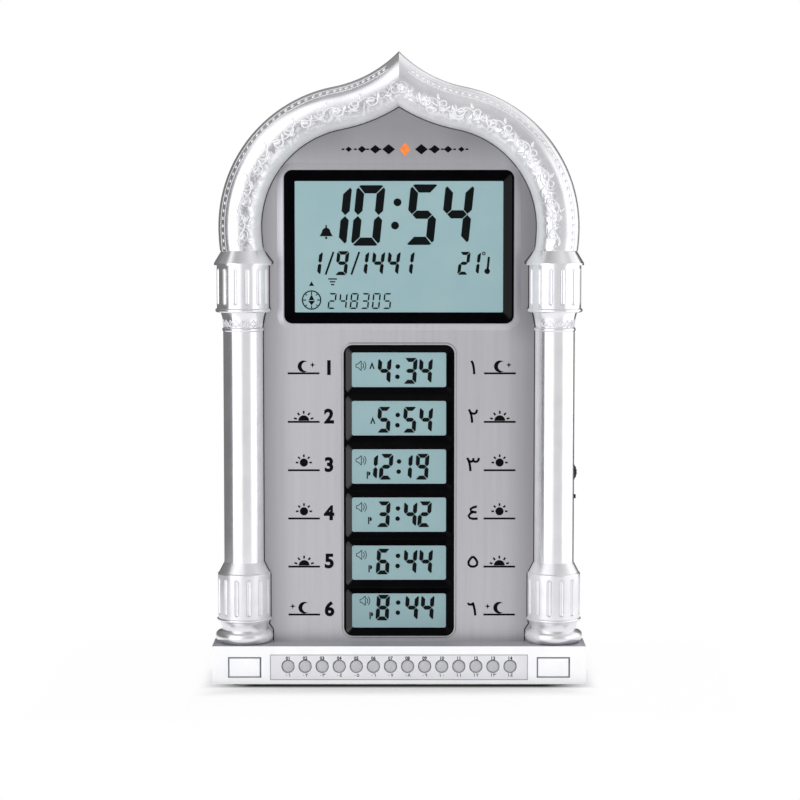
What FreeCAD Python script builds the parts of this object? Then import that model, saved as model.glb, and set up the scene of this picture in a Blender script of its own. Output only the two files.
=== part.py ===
"""Arch-shaped prayer clock with two displays, fourteen keys and a loudspeaker.

Millimetres, +Z up, front towards -Y. The origin is the middle of the footprint, at the
surface that the clock stands on. Each named piece is written to parts/NAME.step.
"""

import FreeCAD
import Part
import math
import os
from FreeCAD import Vector

# Footprint and depth
foot_height = 1.0
foot_radius = 5.0
foot_inlet = 0.5
plinth_width = 225.0
plinth_height = 23.0
plinth_depth = 28.8
plinth_wall = 2.2
plinth_front_wall = 3.0
rear_depth = 17.6
panel_setback = 17.7

# Front casing and rear cover shells
panel_thickness = 2.5
case_wall = 2.0
case_margin = 11.2
rear_inset = 0.3
rear_wall = 1.8
rear_base_inset = 4.5
rear_base_drop = 1.0

# Columns
column_inset = 18.5
shaft_radius = 11.95
shaft_length = 139.7
torus_height = 7.9
torus_radius = 17.4
scotia_height = 5.5
scotia_radius = 13.9
base_rim_height = 1.9
base_rim_radius = 16.55
base_drum_height = 26.4
base_drum_radius = 15.95
shoulder_height = 7.5
ring_height = 2.4
ring_radius = 12.5
neck_height = 9.1
neck_low_radius = 11.6
neck_top_radius = 13.4
collar_height = 2.4
collar_radius = 16.6
capital_drum_height = 25.9
capital_drum_radius = 15.65
brim_height = 1.2
brim_radius = 17.3
flare_height = 7.4
shoulder_round = 1.2
flute_count = 6
flute_angle = 27.0
flute_radius = 1.7
flute_standoff = 0.5
flute_margin = 1.9

# Arch moulding: a half-round tube on three tangent arcs a side, mitred at the crown
tube_radius = 12.85
spring_shift = 0.6
spring_angle = 8.3
lower_bend_radius = 102.6
lower_bend_angle = 7.2
upper_bend_radius = 72.4
upper_bend_angle = 80.2
crown_bend_radius = 88.0

# Main display
main_centre_z = 263.6
main_window_width = 125.3
main_window_height = 78.8
main_frame_side = 6.35
main_frame_end = 6.6
main_corner = 5.0
main_surround = 4.5

# Column of six small displays
times_centre_z = 116.1
times_frame_side = 4.85
times_frame_end = 4.65
times_corner = 5.5
times_window_width = 57.0
times_window_height = 20.9
times_window_corner = 1.2
times_window_count = 6
times_pitch = 29.35
times_bevel = 3.6
times_surround = 1.6

# What both displays share
bezel_proud = 1.5
bezel_rim = 1.2
surround_lip = 1.2
bezel_shelf = 2.0
bezel_clearance = 0.15
window_depth = 1.0
window_corner = 0.6
glass_lap = 2.2
glass_thickness = 2.8
glass_clearance = 0.2
strip_height = 3.0
strip_width = 2.0
holder_lap = 3.0
holder_border = 4.5
board_thickness = 1.6
board_border = 3.0
board_ear = 8.0
boss_radius = 3.0
pilot_radius = 1.25
chip_height = 1.6
main_chips = [(-30.0, 30.0, 22.0, 14.0), (12.0, 28.0, 14.0, 14.0), (34.0, -24.0, 26.0, 10.0),
              (-20.0, -20.0, 12.0, 8.0)]
times_chips = [(0.0, 35.0, 18.0, 12.0), (0.0, -35.0, 18.0, 12.0)]

# Keys
key_count = 14
key_pitch = 10.28
key_radius = 3.45
key_gap = 0.2
key_centre_z = 11.7
key_recess = 0.5
key_crown = 0.3
key_travel = 0.8
key_flange_radius = 4.3
key_flange_thickness = 1.0
key_seat_gap = 0.1
key_stem_radius = 1.4
key_stem_length = 1.6
label_width = 155.0
label_height = 15.3
label_centre_z = 11.25
label_thickness = 0.8
label_recess = 1.1
label_clearance = 0.1
switch_side = 6.0
switch_height = 3.5
plunger_radius = 1.7
plunger_height = 0.8
key_board_margin = 12.0
key_board_height = 13.0

# Framed blank under each column
blank_shift = 1.1
blank_width = 20.0
blank_height = 12.5
blank_centre_z = 11.2
blank_groove = 0.9
blank_depth = 0.9

# Screws
screw_radius = 1.2
screw_head_radius = 2.7
screw_head_height = 1.6
case_screw_inset = 12.2
case_screw_heights = [45.0, 190.0]
crown_screw_x = 60.0
crown_screw_z = 322.0
case_post_radius = 4.4
case_post_bore = 3.0
case_screw_grip = 5.0
case_screw_length = 11.0
screw_hole_radius = 1.5

# Battery bay with three round cells, and its door
cell_radius = 7.0
cell_length = 49.2
cell_nub_radius = 2.6
cell_nub_height = 1.3
cell_pitch = 15.2
cell_count = 3
bay_centre_z = 74.0
bay_wall = 1.4
bay_floor = 1.1
bay_end_room = 3.6
bay_side_room = 0.8
cell_gap = 0.1
door_thickness = 2.0
door_gap = 0.3
door_rest_gap = 0.1
door_margin = 2.0
hinge_pin_radius = 0.95
hinge_pin_gap = 0.05
hinge_pin_length = 1.9
hinge_lug_width = 3.0
hinge_lug_wall = 1.6
contact_thickness = 0.4
contact_width = 9.0
contact_bow = 1.8
finger_notch_width = 16.0
finger_notch_height = 2.4
finger_notch_depth = 1.0

# Loudspeaker behind a slotted grille
speaker_z = 160.0
speaker_radius = 25.0
speaker_depth = 12.0
speaker_flange = 1.0
speaker_rim = 4.0
speaker_sheet = 0.8
magnet_radius = 12.0
magnet_height = 4.5
cone_sheet = 0.6
cone_dip = 5.0
cone_gap = 0.3
cone_neck_radius = 5.0
cone_edge = 1.5
cone_cap_rise = 1.6
pole_hole_radius = 3.0
grille_radius = 20.0
grille_slot = 2.4
grille_pitch = 5.2
speaker_screw_radius = 28.4

# Thumbwheel for the loudness and slide switch, on the right side
wheel_proud = 3.7
wheel_seat_gap = 0.15
wheel_z = 126.2
wheel_thickness = 2.4
wheel_front_gap = 1.6
wheel_gap = 0.3
wheel_grooves = 24
wheel_groove_radius = 0.35
wheel_stub_radius = 1.2
wheel_stub_gap = 0.05
pot_boss_radius = 1.85
pot_thickness = 2.5
pot_length = 11.0
pot_width = 9.0
knob_proud = 3.3
knob_z = 111.0
knob_height = 2.4
knob_width = 2.0
knob_travel = 2.0
knob_gap = 0.2
knob_root = 2.0
switch_length = 12.0
switch_body_width = 8.6
switch_body_depth = 4.2
side_board_width = 22.0
side_board_low = 100.0
side_board_high = 140.0
side_post_inset = 5.0

# Wall hanger at the top of the back
hanger_z = 322.0
hanger_width = 34.0
hanger_height = 22.0
hanger_thickness = 1.2
hanger_corner = 2.0
hanger_hole_radius = 4.0
hanger_slot_width = 4.0
hanger_slot_length = 8.0
hanger_room = 2.0
hanger_screw_x = 12.5
hanger_screw_radius = 0.9
hanger_head_radius = 2.0
hanger_head_height = 0.6
hanger_screw_length = 4.5
hanger_boss_radius = 2.6
fit_gap = 0.1

# Planes that follow from the sizes above
total_depth = plinth_depth + rear_depth + hanger_thickness
front_y = -total_depth / 2
panel_y = front_y + panel_setback
plate_back_y = panel_y + panel_thickness
split_y = front_y + plinth_depth
back_y = split_y + rear_depth
back_inner_y = back_y - rear_wall
plinth_top = foot_height + plinth_height
shaft_low_z = (plinth_top + torus_height + scotia_height + base_rim_height
               + base_drum_height + shoulder_height)
capital_low_z = shaft_low_z + shaft_length
spring_z = (capital_low_z + ring_height + neck_height + collar_height
            + capital_drum_height + brim_height + flare_height)
glass_front_y = panel_y + window_depth
glass_back_y = glass_front_y + glass_thickness
board_front_y = glass_back_y + strip_height
board_back_y = board_front_y + board_thickness
column_x = plinth_width / 2 - column_inset
spring_x = column_x + spring_shift
case_edge = column_x + case_margin
rear_edge = case_edge - rear_inset
main_bezel_width = main_window_width + 2 * main_frame_side
main_bezel_height = main_window_height + 2 * main_frame_end
times_span = (times_window_count - 1) * times_pitch + times_window_height
times_bezel_width = times_window_width + 2 * times_frame_side
times_bezel_height = times_span + 2 * times_frame_end
wheel_x = rear_edge - rear_wall - pot_boss_radius - wheel_seat_gap
wheel_radius = rear_edge + wheel_proud - wheel_x
knob_reach = rear_edge + knob_proud
far = 500.0


def box(x0, x1, y0, y1, z0, z1):
    """A block between two corners."""
    return Part.makeBox(x1 - x0, y1 - y0, z1 - z0, Vector(x0, y0, z0))


def rod_y(x, z, radius, y0, y1):
    """A round bar along Y."""
    return Part.makeCylinder(radius, y1 - y0, Vector(x, y0, z), Vector(0, 1, 0))


def rod_z(x, y, radius, z0, z1):
    """A round bar along Z."""
    return Part.makeCylinder(radius, z1 - z0, Vector(x, y, z0), Vector(0, 0, 1))


def joined(shapes):
    """Several touching shapes as one solid, without the seams between them."""
    return shapes[0].multiFuse(shapes[1:]).removeSplitter()


def group(shapes):
    """Separate solids that share one node."""
    return Part.makeCompound(shapes)


def mirrored(shape):
    """The same shape on the other side of the clock's middle plane."""
    return shape.mirror(Vector(0, 0, 0), Vector(1, 0, 0))


def round_rectangle(centre_z, width, height, corner, y):
    """A closed wire, a rectangle with round corners, upright at depth y."""
    r = min(corner, width / 2 - 0.01, height / 2 - 0.01)
    x1 = width / 2
    z0 = centre_z - height / 2
    z1 = centre_z + height / 2
    diagonal = r * (1 - math.sqrt(0.5))
    edges = []
    corners = [(x1, z0, -1, 1), (x1, z1, -1, -1), (-x1, z1, 1, -1), (-x1, z0, 1, 1)]
    runs = []
    for x, z, sx, sz in corners:
        along_x = Vector(x + sx * r, y, z)
        along_z = Vector(x, y, z + sz * r)
        middle = Vector(x + sx * diagonal, y, z + sz * diagonal)
        first_is_x = (sx < 0) == (sz > 0)
        ends = (along_x, along_z) if first_is_x else (along_z, along_x)
        runs.append((ends[0], middle, ends[1]))
    for i, (start, middle, end) in enumerate(runs):
        edges.append(Part.Arc(start, middle, end).toShape())
        edges.append(Part.LineSegment(end, runs[(i + 1) % len(runs)][0]).toShape())
    return Part.Wire(edges)


def round_plate(centre_z, width, height, corner, y0, y1):
    """A plate with round corners between two depths."""
    face = Part.Face(round_rectangle(centre_z, width, height, corner, y0))
    return face.extrude(Vector(0, y1 - y0, 0))


def round_taper(centre_z, near, far_end):
    """A rounded block that tapers between (width, height, corner, y) at each end."""
    wires = [round_rectangle(centre_z, *near), round_rectangle(centre_z, *far_end)]
    return Part.makeLoft(wires, True, True)


def turned(x, y, outline, sweep):
    """A turning about an upright axis. The outline is (radius, z) points from the bottom up,
    where a point ("arc", middle radius, middle z, radius, z) is reached along an arc."""
    def place(radius, z):
        return Vector(x + radius, y, z)

    edges = []
    at = outline[0]
    for step in outline[1:]:
        if step[0] == "arc":
            end = (step[3], step[4])
            edges.append(Part.Arc(place(*at), place(step[1], step[2]), place(*end)).toShape())
        else:
            end = step
            edges.append(Part.LineSegment(place(*at), place(*end)).toShape())
        at = end
    edges.append(Part.LineSegment(place(*at), place(*outline[0])).toShape())
    face = Part.Face(Part.Wire(edges))
    return face.revolve(Vector(x, y, 0), Vector(0, 0, 1), -sweep)


def turned_y(x, z, outline):
    """A full turning about an axis along Y. The outline is (radius, y) points."""
    points = [Vector(x + radius, y, z) for radius, y in outline]
    face = Part.Face(Part.makePolygon(points + [points[0]]))
    return face.revolve(Vector(x, 0, z), Vector(0, 1, 0), 360)


def screw(x, z, head_y, length, inward=-1):
    """A pan-head screw along Y, whose head rests at head_y and whose shank points inward."""
    head_end = head_y - inward * screw_head_height
    shank_end = head_y + inward * length
    head = rod_y(x, z, screw_head_radius, min(head_y, head_end), max(head_y, head_end))
    shank = rod_y(x, z, screw_radius, min(head_y, shank_end), max(head_y, shank_end))
    slot_y = head_end + inward * screw_head_height / 2
    slot = box(x - screw_head_radius, x + screw_head_radius, min(slot_y, head_end),
               max(slot_y, head_end), z - 0.4, z + 0.4)
    return joined([head, shank]).cut(slot)


def polar(centre, radius, degrees):
    """A point of the front view, as (x, z), at an angle from +X towards +Z."""
    a = math.radians(degrees)
    return (centre[0] + radius * math.cos(a), centre[1] + radius * math.sin(a))


def arch_arcs():
    """The tube's three centre-line arcs on the right: (centre, radius, start, turn, side).

    Side is 1 where the outside of the arch is away from the centre, and -1 on the crown.
    """
    start = -spring_angle
    first_centre = polar((spring_x, spring_z), -lower_bend_radius, start)
    bend = start + lower_bend_angle
    joint = polar(first_centre, lower_bend_radius, bend)
    second_centre = polar(joint, -upper_bend_radius, bend)
    turn_end = bend + upper_bend_angle
    flex = polar(second_centre, upper_bend_radius, turn_end)
    third_centre = polar(flex, crown_bend_radius, turn_end)
    return [
        (first_centre, lower_bend_radius, start, lower_bend_angle, 1),
        (second_centre, upper_bend_radius, bend, upper_bend_angle, 1),
        (third_centre, crown_bend_radius, turn_end + 180, None, -1),
    ]


def crown_angle(offset):
    """Where the crown arc, offset outwards, meets the middle plane."""
    centre, radius, _, _, _ = arch_arcs()[2]
    return 180 + math.degrees(math.acos(centre[0] / (radius - offset)))


def arch_line(offset, y):
    """Edges of the right side of the arch, offset outwards, from the springing to the crown."""
    edges = []
    end = None
    for centre, radius, start, turn, side in arch_arcs():
        r = radius + side * offset
        stop = crown_angle(offset) if turn is None else start + turn
        points = [polar(centre, r, start + (stop - start) * k / 2) for k in range(3)]
        a, b, c = [Vector(x, y, z) for x, z in points]
        edges.append(Part.Arc(a, b, c).toShape())
        end = c
    return edges, end


def arch_prism(edge, low_z, y0, y1):
    """A solid with the clock's arched front outline, whose upright sides are at x = edge."""
    offset = (edge - spring_x) / math.cos(math.radians(spring_angle))
    right, _ = arch_line(offset, y0)
    start = right[0].Vertexes[0].Point
    left = [mirrored(e) for e in right]
    foot_right = Vector(start.x, y0, low_z)
    foot_left = Vector(-start.x, y0, low_z)
    edges = [Part.LineSegment(foot_right, start).toShape()] + right + left
    edges.append(Part.LineSegment(foot_left, Vector(-start.x, y0, start.z)).toShape())
    edges.append(Part.LineSegment(foot_left, foot_right).toShape())
    wire = Part.Wire(Part.__sortEdges__(edges))
    return Part.Face(wire).extrude(Vector(0, y1 - y0, 0))


def arch_frame():
    """The half-round moulding round the top, in two halves that meet in a mitre."""
    pieces = []
    for centre, radius, start, turn, _ in arch_arcs():
        if turn is None:
            turn = crown_angle(tube_radius) - 1 - start
        elif start == -spring_angle:
            start -= spring_angle
            turn += spring_angle
        x = centre[0] + radius
        near = Vector(x - tube_radius, panel_y, centre[1])
        front = Vector(x, panel_y - tube_radius, centre[1])
        away = Vector(x + tube_radius, panel_y, centre[1])
        section = Part.Face(Part.Wire([Part.Arc(near, front, away).toShape(),
                                       Part.LineSegment(away, near).toShape()]))
        pivot = Vector(centre[0], panel_y, centre[1])
        section.rotate(pivot, Vector(0, -1, 0), start)
        pieces.append(section.revolve(pivot, Vector(0, -1, 0), turn))
    half = joined(pieces).common(box(0, far, -far, far, spring_z, far))
    return joined([half, mirrored(half)])


def flutes(x, drum_radius, z0, z1):
    """Cutters for the upright round-ended grooves on the front half of a drum."""
    cutters = []
    r = flute_radius
    low = z0 + flute_margin + r
    high = z1 - flute_margin - r
    for i in range(flute_count):
        a = math.radians(90 + (i - (flute_count - 1) / 2) * flute_angle)
        reach = drum_radius + flute_standoff
        cx = x + reach * math.cos(a)
        cy = panel_y - reach * math.sin(a)
        ends = [Part.makeSphere(r, Vector(cx, cy, z)) for z in (low, high)]
        cutters.append(rod_z(cx, cy, r, low, high).multiFuse(ends))
    return cutters


def column_base(x):
    """Torus foot, hollowed neck, rim, fluted drum and shoulder, as a half turning."""
    z = plinth_top
    outline = [(0, z), (torus_radius - torus_height / 2, z)]
    outline.append(("arc", torus_radius, z + torus_height / 2,
                    torus_radius - torus_height / 2, z + torus_height))
    z += torus_height
    outline.append(("arc", scotia_radius, z + scotia_height / 2,
                    base_rim_radius - base_rim_height / 2, z + scotia_height))
    z += scotia_height
    outline.append(("arc", base_rim_radius, z + base_rim_height / 2,
                    base_drum_radius, z + base_rim_height))
    z += base_rim_height
    drum_low = z
    z += base_drum_height
    r = shoulder_round
    outline.append((base_drum_radius, z))
    outline.append(("arc", base_drum_radius - r * 0.2, z + r * 0.7, base_drum_radius - r * 0.6, z + r))
    outline += [(shaft_radius, z + shoulder_height), (0, z + shoulder_height)]
    body = turned(x, panel_y, outline, 180)
    return body.cut(flutes(x, base_drum_radius, drum_low, z))


def column_capital(x):
    """Ring, tapered neck, collar, fluted drum, brim and flare, as a half turning."""
    z = capital_low_z
    outline = [(0, z), (shaft_radius, z)]
    outline.append(("arc", ring_radius, z + ring_height / 2, neck_low_radius, z + ring_height))
    z += ring_height
    middle = (neck_low_radius + neck_top_radius) / 2
    outline.append(("arc", middle - neck_height / 30, z + neck_height / 2,
                    neck_top_radius, z + neck_height))
    z += neck_height
    outline.append((collar_radius - collar_height / 2, z))
    outline.append(("arc", collar_radius, z + collar_height / 2,
                    capital_drum_radius, z + collar_height))
    z += collar_height
    drum_low = z
    z += capital_drum_height
    outline += [(capital_drum_radius, z), (brim_radius, z), (brim_radius, z + brim_height)]
    z += brim_height
    outline += [(tube_radius, z + flare_height), (0, z + flare_height)]
    body = turned(x, panel_y, outline, 180)
    return body.cut(flutes(x, capital_drum_radius, drum_low, drum_low + capital_drum_height))


def column_shaft(x):
    """The plain half-round shaft between base and capital."""
    outline = [(0, shaft_low_z), (shaft_radius, shaft_low_z),
               (shaft_radius, capital_low_z), (0, capital_low_z)]
    return turned(x, panel_y, outline, 180)


def surround(centre_z, width, height, corner, run):
    """The sloped border that rises from the panel to a bezel."""
    wide = (width + 2 * run, height + 2 * run, corner + run, panel_y + fit_gap)
    lip = 2 * bezel_clearance + surround_lip
    narrow = (width + lip, height + lip, corner, panel_y - bezel_proud)
    return round_taper(centre_z, wide, narrow)


def bezel_seat(centre_z, width, height, corner):
    """The stepped hole in the panel that a bezel drops into."""
    c = 2 * bezel_clearance
    step = round_plate(centre_z, width + c, height + c, corner, panel_y - far / 10, panel_y)
    inner = round_plate(centre_z, width + c - 2 * bezel_shelf, height + c - 2 * bezel_shelf,
                        corner, panel_y - fit_gap, plate_back_y + fit_gap)
    return [step, inner]


def board_boss_places():
    """Where the two display boards are screwed to the front casing."""
    main_x = main_bezel_width / 2 + board_ear / 2 + boss_radius - bezel_shelf
    main_z = main_bezel_height / 2 - boss_radius
    times_x = times_bezel_width / 2 + board_ear / 2 + boss_radius - bezel_shelf
    times_z = times_bezel_height / 2 - 6 * boss_radius
    places = [(sx * main_x, main_centre_z + sz * main_z) for sx in (-1, 1) for sz in (-1, 1)]
    places += [(sx * times_x, times_centre_z + sz * times_z) for sx in (-1, 1) for sz in (-1, 1)]
    return places


def case_screw_positions():
    """The six screws that hold the rear cover to the front casing."""
    x = case_edge - case_screw_inset
    places = [(x, z) for z in case_screw_heights] + [(crown_screw_x, crown_screw_z)]
    return [(side * x, z) for x, z in places for side in (-1, 1)]


def front_casing():
    """The silver front shell: flat panel, two bezel seats, side walls and screw posts."""
    shell = arch_prism(case_edge, plinth_top, panel_y, split_y)
    cavity = arch_prism(case_edge - case_wall, plinth_top + case_wall, plate_back_y, split_y + 1)
    shell = shell.cut(cavity)
    posts = [rod_y(x, z, boss_radius, plate_back_y - fit_gap, board_front_y)
             for x, z in board_boss_places()]
    posts += [rod_y(x, z, case_post_radius, plate_back_y - fit_gap, split_y)
              for x, z in case_screw_positions()]
    borders = [surround(main_centre_z, main_bezel_width, main_bezel_height, main_corner,
                        main_surround),
               surround(times_centre_z, times_bezel_width, times_bezel_height, times_corner,
                        times_surround)]
    shell = joined([shell] + posts + borders)
    cuts = bezel_seat(main_centre_z, main_bezel_width, main_bezel_height, main_corner)
    cuts += bezel_seat(times_centre_z, times_bezel_width, times_bezel_height, times_corner)
    cuts += [rod_y(x, z, pilot_radius, plate_back_y, board_front_y + 1)
             for x, z in board_boss_places()]
    cuts += [rod_y(x, z, pilot_radius, plate_back_y, split_y + 1)
             for x, z in case_screw_positions()]
    return shell.cut(cuts)


def bezel_body(centre_z, width, height, corner):
    """A bezel's rim and the sleeve behind it, before its windows are cut."""
    s = 2 * bezel_shelf
    rim = round_plate(centre_z, width, height, corner, panel_y - bezel_proud, panel_y)
    sleeve = round_plate(centre_z, width - s, height - s, corner, panel_y, plate_back_y)
    return joined([rim, sleeve])


def glass_pocket(centre_z, glass_width, glass_height):
    """Room for a display glass at the back of its bezel."""
    g = 2 * glass_clearance
    return round_plate(centre_z, glass_width + g, glass_height + g, window_corner,
                       glass_front_y, plate_back_y + 1)


def main_display_bezel():
    """The wide black frame, whose bevel falls inwards from its rim to the glass."""
    body = bezel_body(main_centre_z, main_bezel_width, main_bezel_height, main_corner)
    front = (main_bezel_width - 2 * bezel_rim, main_bezel_height - 2 * bezel_rim,
             main_corner - bezel_rim, panel_y - bezel_proud)
    back = (main_window_width, main_window_height, window_corner, glass_front_y)
    window = round_taper(main_centre_z, front, back)
    pocket = glass_pocket(main_centre_z, *main_glass_size())
    return body.cut([window, pocket])


def main_glass_size():
    """Width and height of the main display's glass."""
    return main_window_width + 2 * glass_lap, main_window_height + 2 * glass_lap


def times_glass_size():
    """Width and height of the glass behind the six windows."""
    return times_window_width + glass_lap, times_span + glass_lap


def times_window_centres():
    """Heights of the six windows' middles, from the lowest up."""
    lowest = times_centre_z - (times_window_count - 1) * times_pitch / 2
    return [lowest + i * times_pitch for i in range(times_window_count)]


def times_display_bezel():
    """The tall black frame with six bevelled windows one above the other."""
    body = bezel_body(times_centre_z, times_bezel_width, times_bezel_height, times_corner)
    cuts = [glass_pocket(times_centre_z, *times_glass_size())]
    for z in times_window_centres():
        front = (times_window_width + 2 * times_bevel, times_window_height + 2 * times_bevel,
                 times_window_corner + times_bevel / 2, panel_y - bezel_proud)
        back = (times_window_width, times_window_height, times_window_corner, glass_front_y)
        cuts.append(round_taper(z, front, back))
    return body.cut(cuts)


def display_glass(centre_z, size):
    """One liquid crystal glass."""
    return round_plate(centre_z, size[0], size[1], window_corner, glass_front_y, glass_back_y)


def glass_holder(centre_z, size):
    """The frame that clamps a glass between its bezel and its board."""
    g = 2 * glass_clearance
    outer = round_plate(centre_z, size[0] + 2 * holder_border, size[1] + 2 * holder_border,
                        window_corner, plate_back_y, board_front_y)
    pocket = round_plate(centre_z, size[0] + g, size[1] + g, window_corner,
                         plate_back_y - 1, glass_back_y)
    hole = round_plate(centre_z, size[0] - 2 * holder_lap - 2 * strip_width,
                       size[1] - 2 * holder_lap, window_corner, plate_back_y - 1,
                       board_front_y + 1)
    slots = [strip(centre_z, size, side, 1 + g / strip_width) for side in (-1, 1)]
    return outer.cut([pocket, hole] + slots)


def strip(centre_z, size, side, swell=1.0):
    """One rubber contact strip beside the glass's edge, from the glass to the board."""
    x = side * (size[0] / 2 - holder_lap)
    w = strip_width * swell / 2
    h = size[1] / 2 - holder_lap - strip_width
    return box(x - w, x + w, glass_back_y, board_front_y, centre_z - h, centre_z + h)


def contact_strips(centre_z, size):
    """The pair of contact strips of one display."""
    return group([strip(centre_z, size, side) for side in (-1, 1)])


def display_board(places):
    """A circuit board that reaches its four bosses."""
    xs = [x for x, _ in places]
    zs = [z for _, z in places]
    edge = boss_radius + board_border - 1
    board = box(min(xs) - edge, max(xs) + edge, board_front_y, board_back_y,
                min(zs) - edge, max(zs) + edge)
    holes = [rod_y(x, z, screw_hole_radius, board_front_y - 1, board_back_y + 1)
             for x, z in places]
    return board.cut(holes)


def board_parts():
    """Chips and a crystal on the backs of the two display boards."""
    chips = []
    for centre_z, places in ((main_centre_z, main_chips), (times_centre_z, times_chips)):
        for x, z, w, h in places:
            cz = centre_z + z
            chips.append(box(x - w / 2, x + w / 2, board_back_y, board_back_y + chip_height,
                             cz - h / 2, cz + h / 2))
    return group(chips)


def board_screws():
    """Screws of the display boards, and of the small side board."""
    screws = [screw(x, z, board_back_y, board_thickness + 2.2) for x, z in board_boss_places()]
    screws += [screw(x, z, side_board_front_y(), board_thickness + 4, 1)
               for x, z in side_post_places()]
    return group(screws)


def key_positions():
    """The fourteen keys' middles, left to right."""
    first = -(key_count - 1) * key_pitch / 2
    return [first + i * key_pitch for i in range(key_count)]


def label_front_y():
    """The label plate's face, a little behind the plinth's."""
    return front_y + label_recess - label_thickness


def key_board_front_y():
    """The key board's face, behind its switches."""
    stem_end = front_y + plinth_front_wall + key_seat_gap + key_flange_thickness + key_stem_length
    return stem_end + key_travel + 0.05 + plunger_height + switch_height


def key_post_places():
    """The two ends of the key board, where it is screwed down."""
    x = key_positions()[-1] + key_board_margin - boss_radius + 1
    return [(-x, key_centre_z), (x, key_centre_z)]


def plinth():
    """The base block: a shell open to the back, with the label recess and the key holes."""
    half = plinth_width / 2
    shell = box(-half, half, front_y, split_y, foot_height, plinth_top)
    inner_y = front_y + plinth_front_wall
    shell = shell.cut(box(-half + plinth_wall, half - plinth_wall, inner_y, split_y + 1,
                          foot_height + plinth_wall, plinth_top - plinth_wall))
    posts = [rod_y(x, z, boss_radius, inner_y - fit_gap, key_board_front_y())
             for x, z in key_post_places()]
    shell = joined([shell] + posts)
    c = 2 * label_clearance
    cuts = [box(-(label_width + c) / 2, (label_width + c) / 2, front_y - 1,
                front_y + label_recess, label_centre_z - (label_height + c) / 2,
                label_centre_z + (label_height + c) / 2)]
    cuts += [rod_y(x, key_centre_z, key_radius + key_gap, front_y - 1, inner_y + 1)
             for x in key_positions()]
    cuts += [rod_y(x, z, pilot_radius, inner_y, key_board_front_y() + 1)
             for x, z in key_post_places()]
    cuts += [foot(x, y) for x, y in foot_places() if y < split_y]
    for side in (-1, 1):
        x = side * (column_x - blank_shift)
        w = blank_width / 2
        h = blank_height / 2
        outer = box(x - w, x + w, front_y - 1, front_y + blank_depth,
                    blank_centre_z - h, blank_centre_z + h)
        w -= blank_groove
        h -= blank_groove
        inner = box(x - w, x + w, front_y - 2, front_y + blank_depth + 1,
                    blank_centre_z - h, blank_centre_z + h)
        cuts.append(outer.cut(inner))
    return shell.cut(cuts)


def key_label_plate():
    """The thin strip round the keys, let into the plinth."""
    y0 = label_front_y()
    plate = box(-label_width / 2, label_width / 2, y0, y0 + label_thickness,
                label_centre_z - label_height / 2, label_centre_z + label_height / 2)
    holes = [rod_y(x, key_centre_z, key_radius + key_gap, y0 - 1, y0 + label_thickness + 1)
             for x in key_positions()]
    return plate.cut(holes)


def key(x):
    """One push key: a crowned cap, a flange behind the wall and a stem to its switch."""
    face_y = label_front_y() + key_recess
    flange_y = front_y + plinth_front_wall + key_seat_gap
    stem_y = flange_y + key_flange_thickness
    outline = [(0, face_y), (key_radius * 0.6, face_y + key_crown / 3),
               (key_radius, face_y + key_crown), (key_radius, flange_y),
               (key_flange_radius, flange_y), (key_flange_radius, stem_y),
               (key_stem_radius, stem_y), (key_stem_radius, stem_y + key_stem_length),
               (0, stem_y + key_stem_length)]
    return turned_y(x, key_centre_z, outline)


def key_board():
    """The circuit board behind the keys."""
    y0 = key_board_front_y()
    half = key_positions()[-1] + key_board_margin
    board = box(-half, half, y0, y0 + board_thickness, key_centre_z - key_board_height / 2,
                key_centre_z + key_board_height / 2)
    holes = [rod_y(x, z, screw_hole_radius, y0 - 1, y0 + board_thickness + 1)
             for x, z in key_post_places()]
    return board.cut(holes)


def key_switches():
    """Fourteen small push switches, one under each key."""
    switches = []
    y1 = key_board_front_y()
    y0 = y1 - switch_height
    s = switch_side / 2
    for x in key_positions():
        body = box(x - s, x + s, y0, y1, key_centre_z - s, key_centre_z + s)
        plunger = rod_y(x, key_centre_z, plunger_radius, y0 - plunger_height, y0)
        switches.append(joined([body, plunger]))
    return group(switches)


def key_board_screws():
    """Two screws at the ends of the key board."""
    y = key_board_front_y() + board_thickness
    return group([screw(x, z, y, board_thickness + 4) for x, z in key_post_places()])


def foot_places():
    """Four feet, two under the plinth and two under the rear cover."""
    x = plinth_width / 2 - rear_base_inset - foot_radius - 5
    front = front_y + foot_radius + 4
    back = back_y - foot_radius - 2
    return [(-x, front), (x, front), (-x, back), (x, back)]


def foot(x, y):
    """One round rubber foot, let into the underside."""
    return rod_z(x, y, foot_radius, 0, foot_height + foot_inlet)


def feet():
    """The four feet."""
    return group([foot(x, y) for x, y in foot_places()])


def bay_inner():
    """Half width, lowest and highest z of the battery bay's inside."""
    half = (cell_length + cell_nub_height) / 2 + bay_end_room
    reach = (cell_count - 1) * cell_pitch / 2 + cell_radius + bay_side_room
    return half, bay_centre_z - reach, bay_centre_z + reach


def hinge_axis():
    """Depth and height of the battery door's hinge."""
    _, low, _ = bay_inner()
    return back_y - door_thickness, low - bay_wall - door_gap - door_thickness


def door_edges():
    """Half width and top of the battery door."""
    half, _, high = bay_inner()
    return half + bay_wall + door_margin, high + bay_wall + door_margin


def cover_block(edge, base_edge, low, drop, y0, y1):
    """The rear cover's outline: the arch, and a wider block behind the plinth."""
    arch = arch_prism(edge, low, y0, y1)
    return arch.fuse(box(-base_edge, base_edge, y0, y1, low, plinth_top - drop))


def hanger_opening(y0, y1, grow=0.0):
    """A round hole with a narrow slot above it, for a screw head and its neck."""
    r = hanger_hole_radius + grow
    w = hanger_slot_width / 2 + grow
    top = hanger_z + hanger_slot_length
    return joined([rod_y(0, hanger_z, r, y0, y1), rod_y(0, top, w, y0, y1),
                   box(-w, w, y0, y1, hanger_z, top)])


def hanger_screw_places():
    """The two small screws of the hanger plate."""
    z = hanger_z + hanger_slot_length / 2
    return [(-hanger_screw_x, z), (hanger_screw_x, z)]


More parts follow.
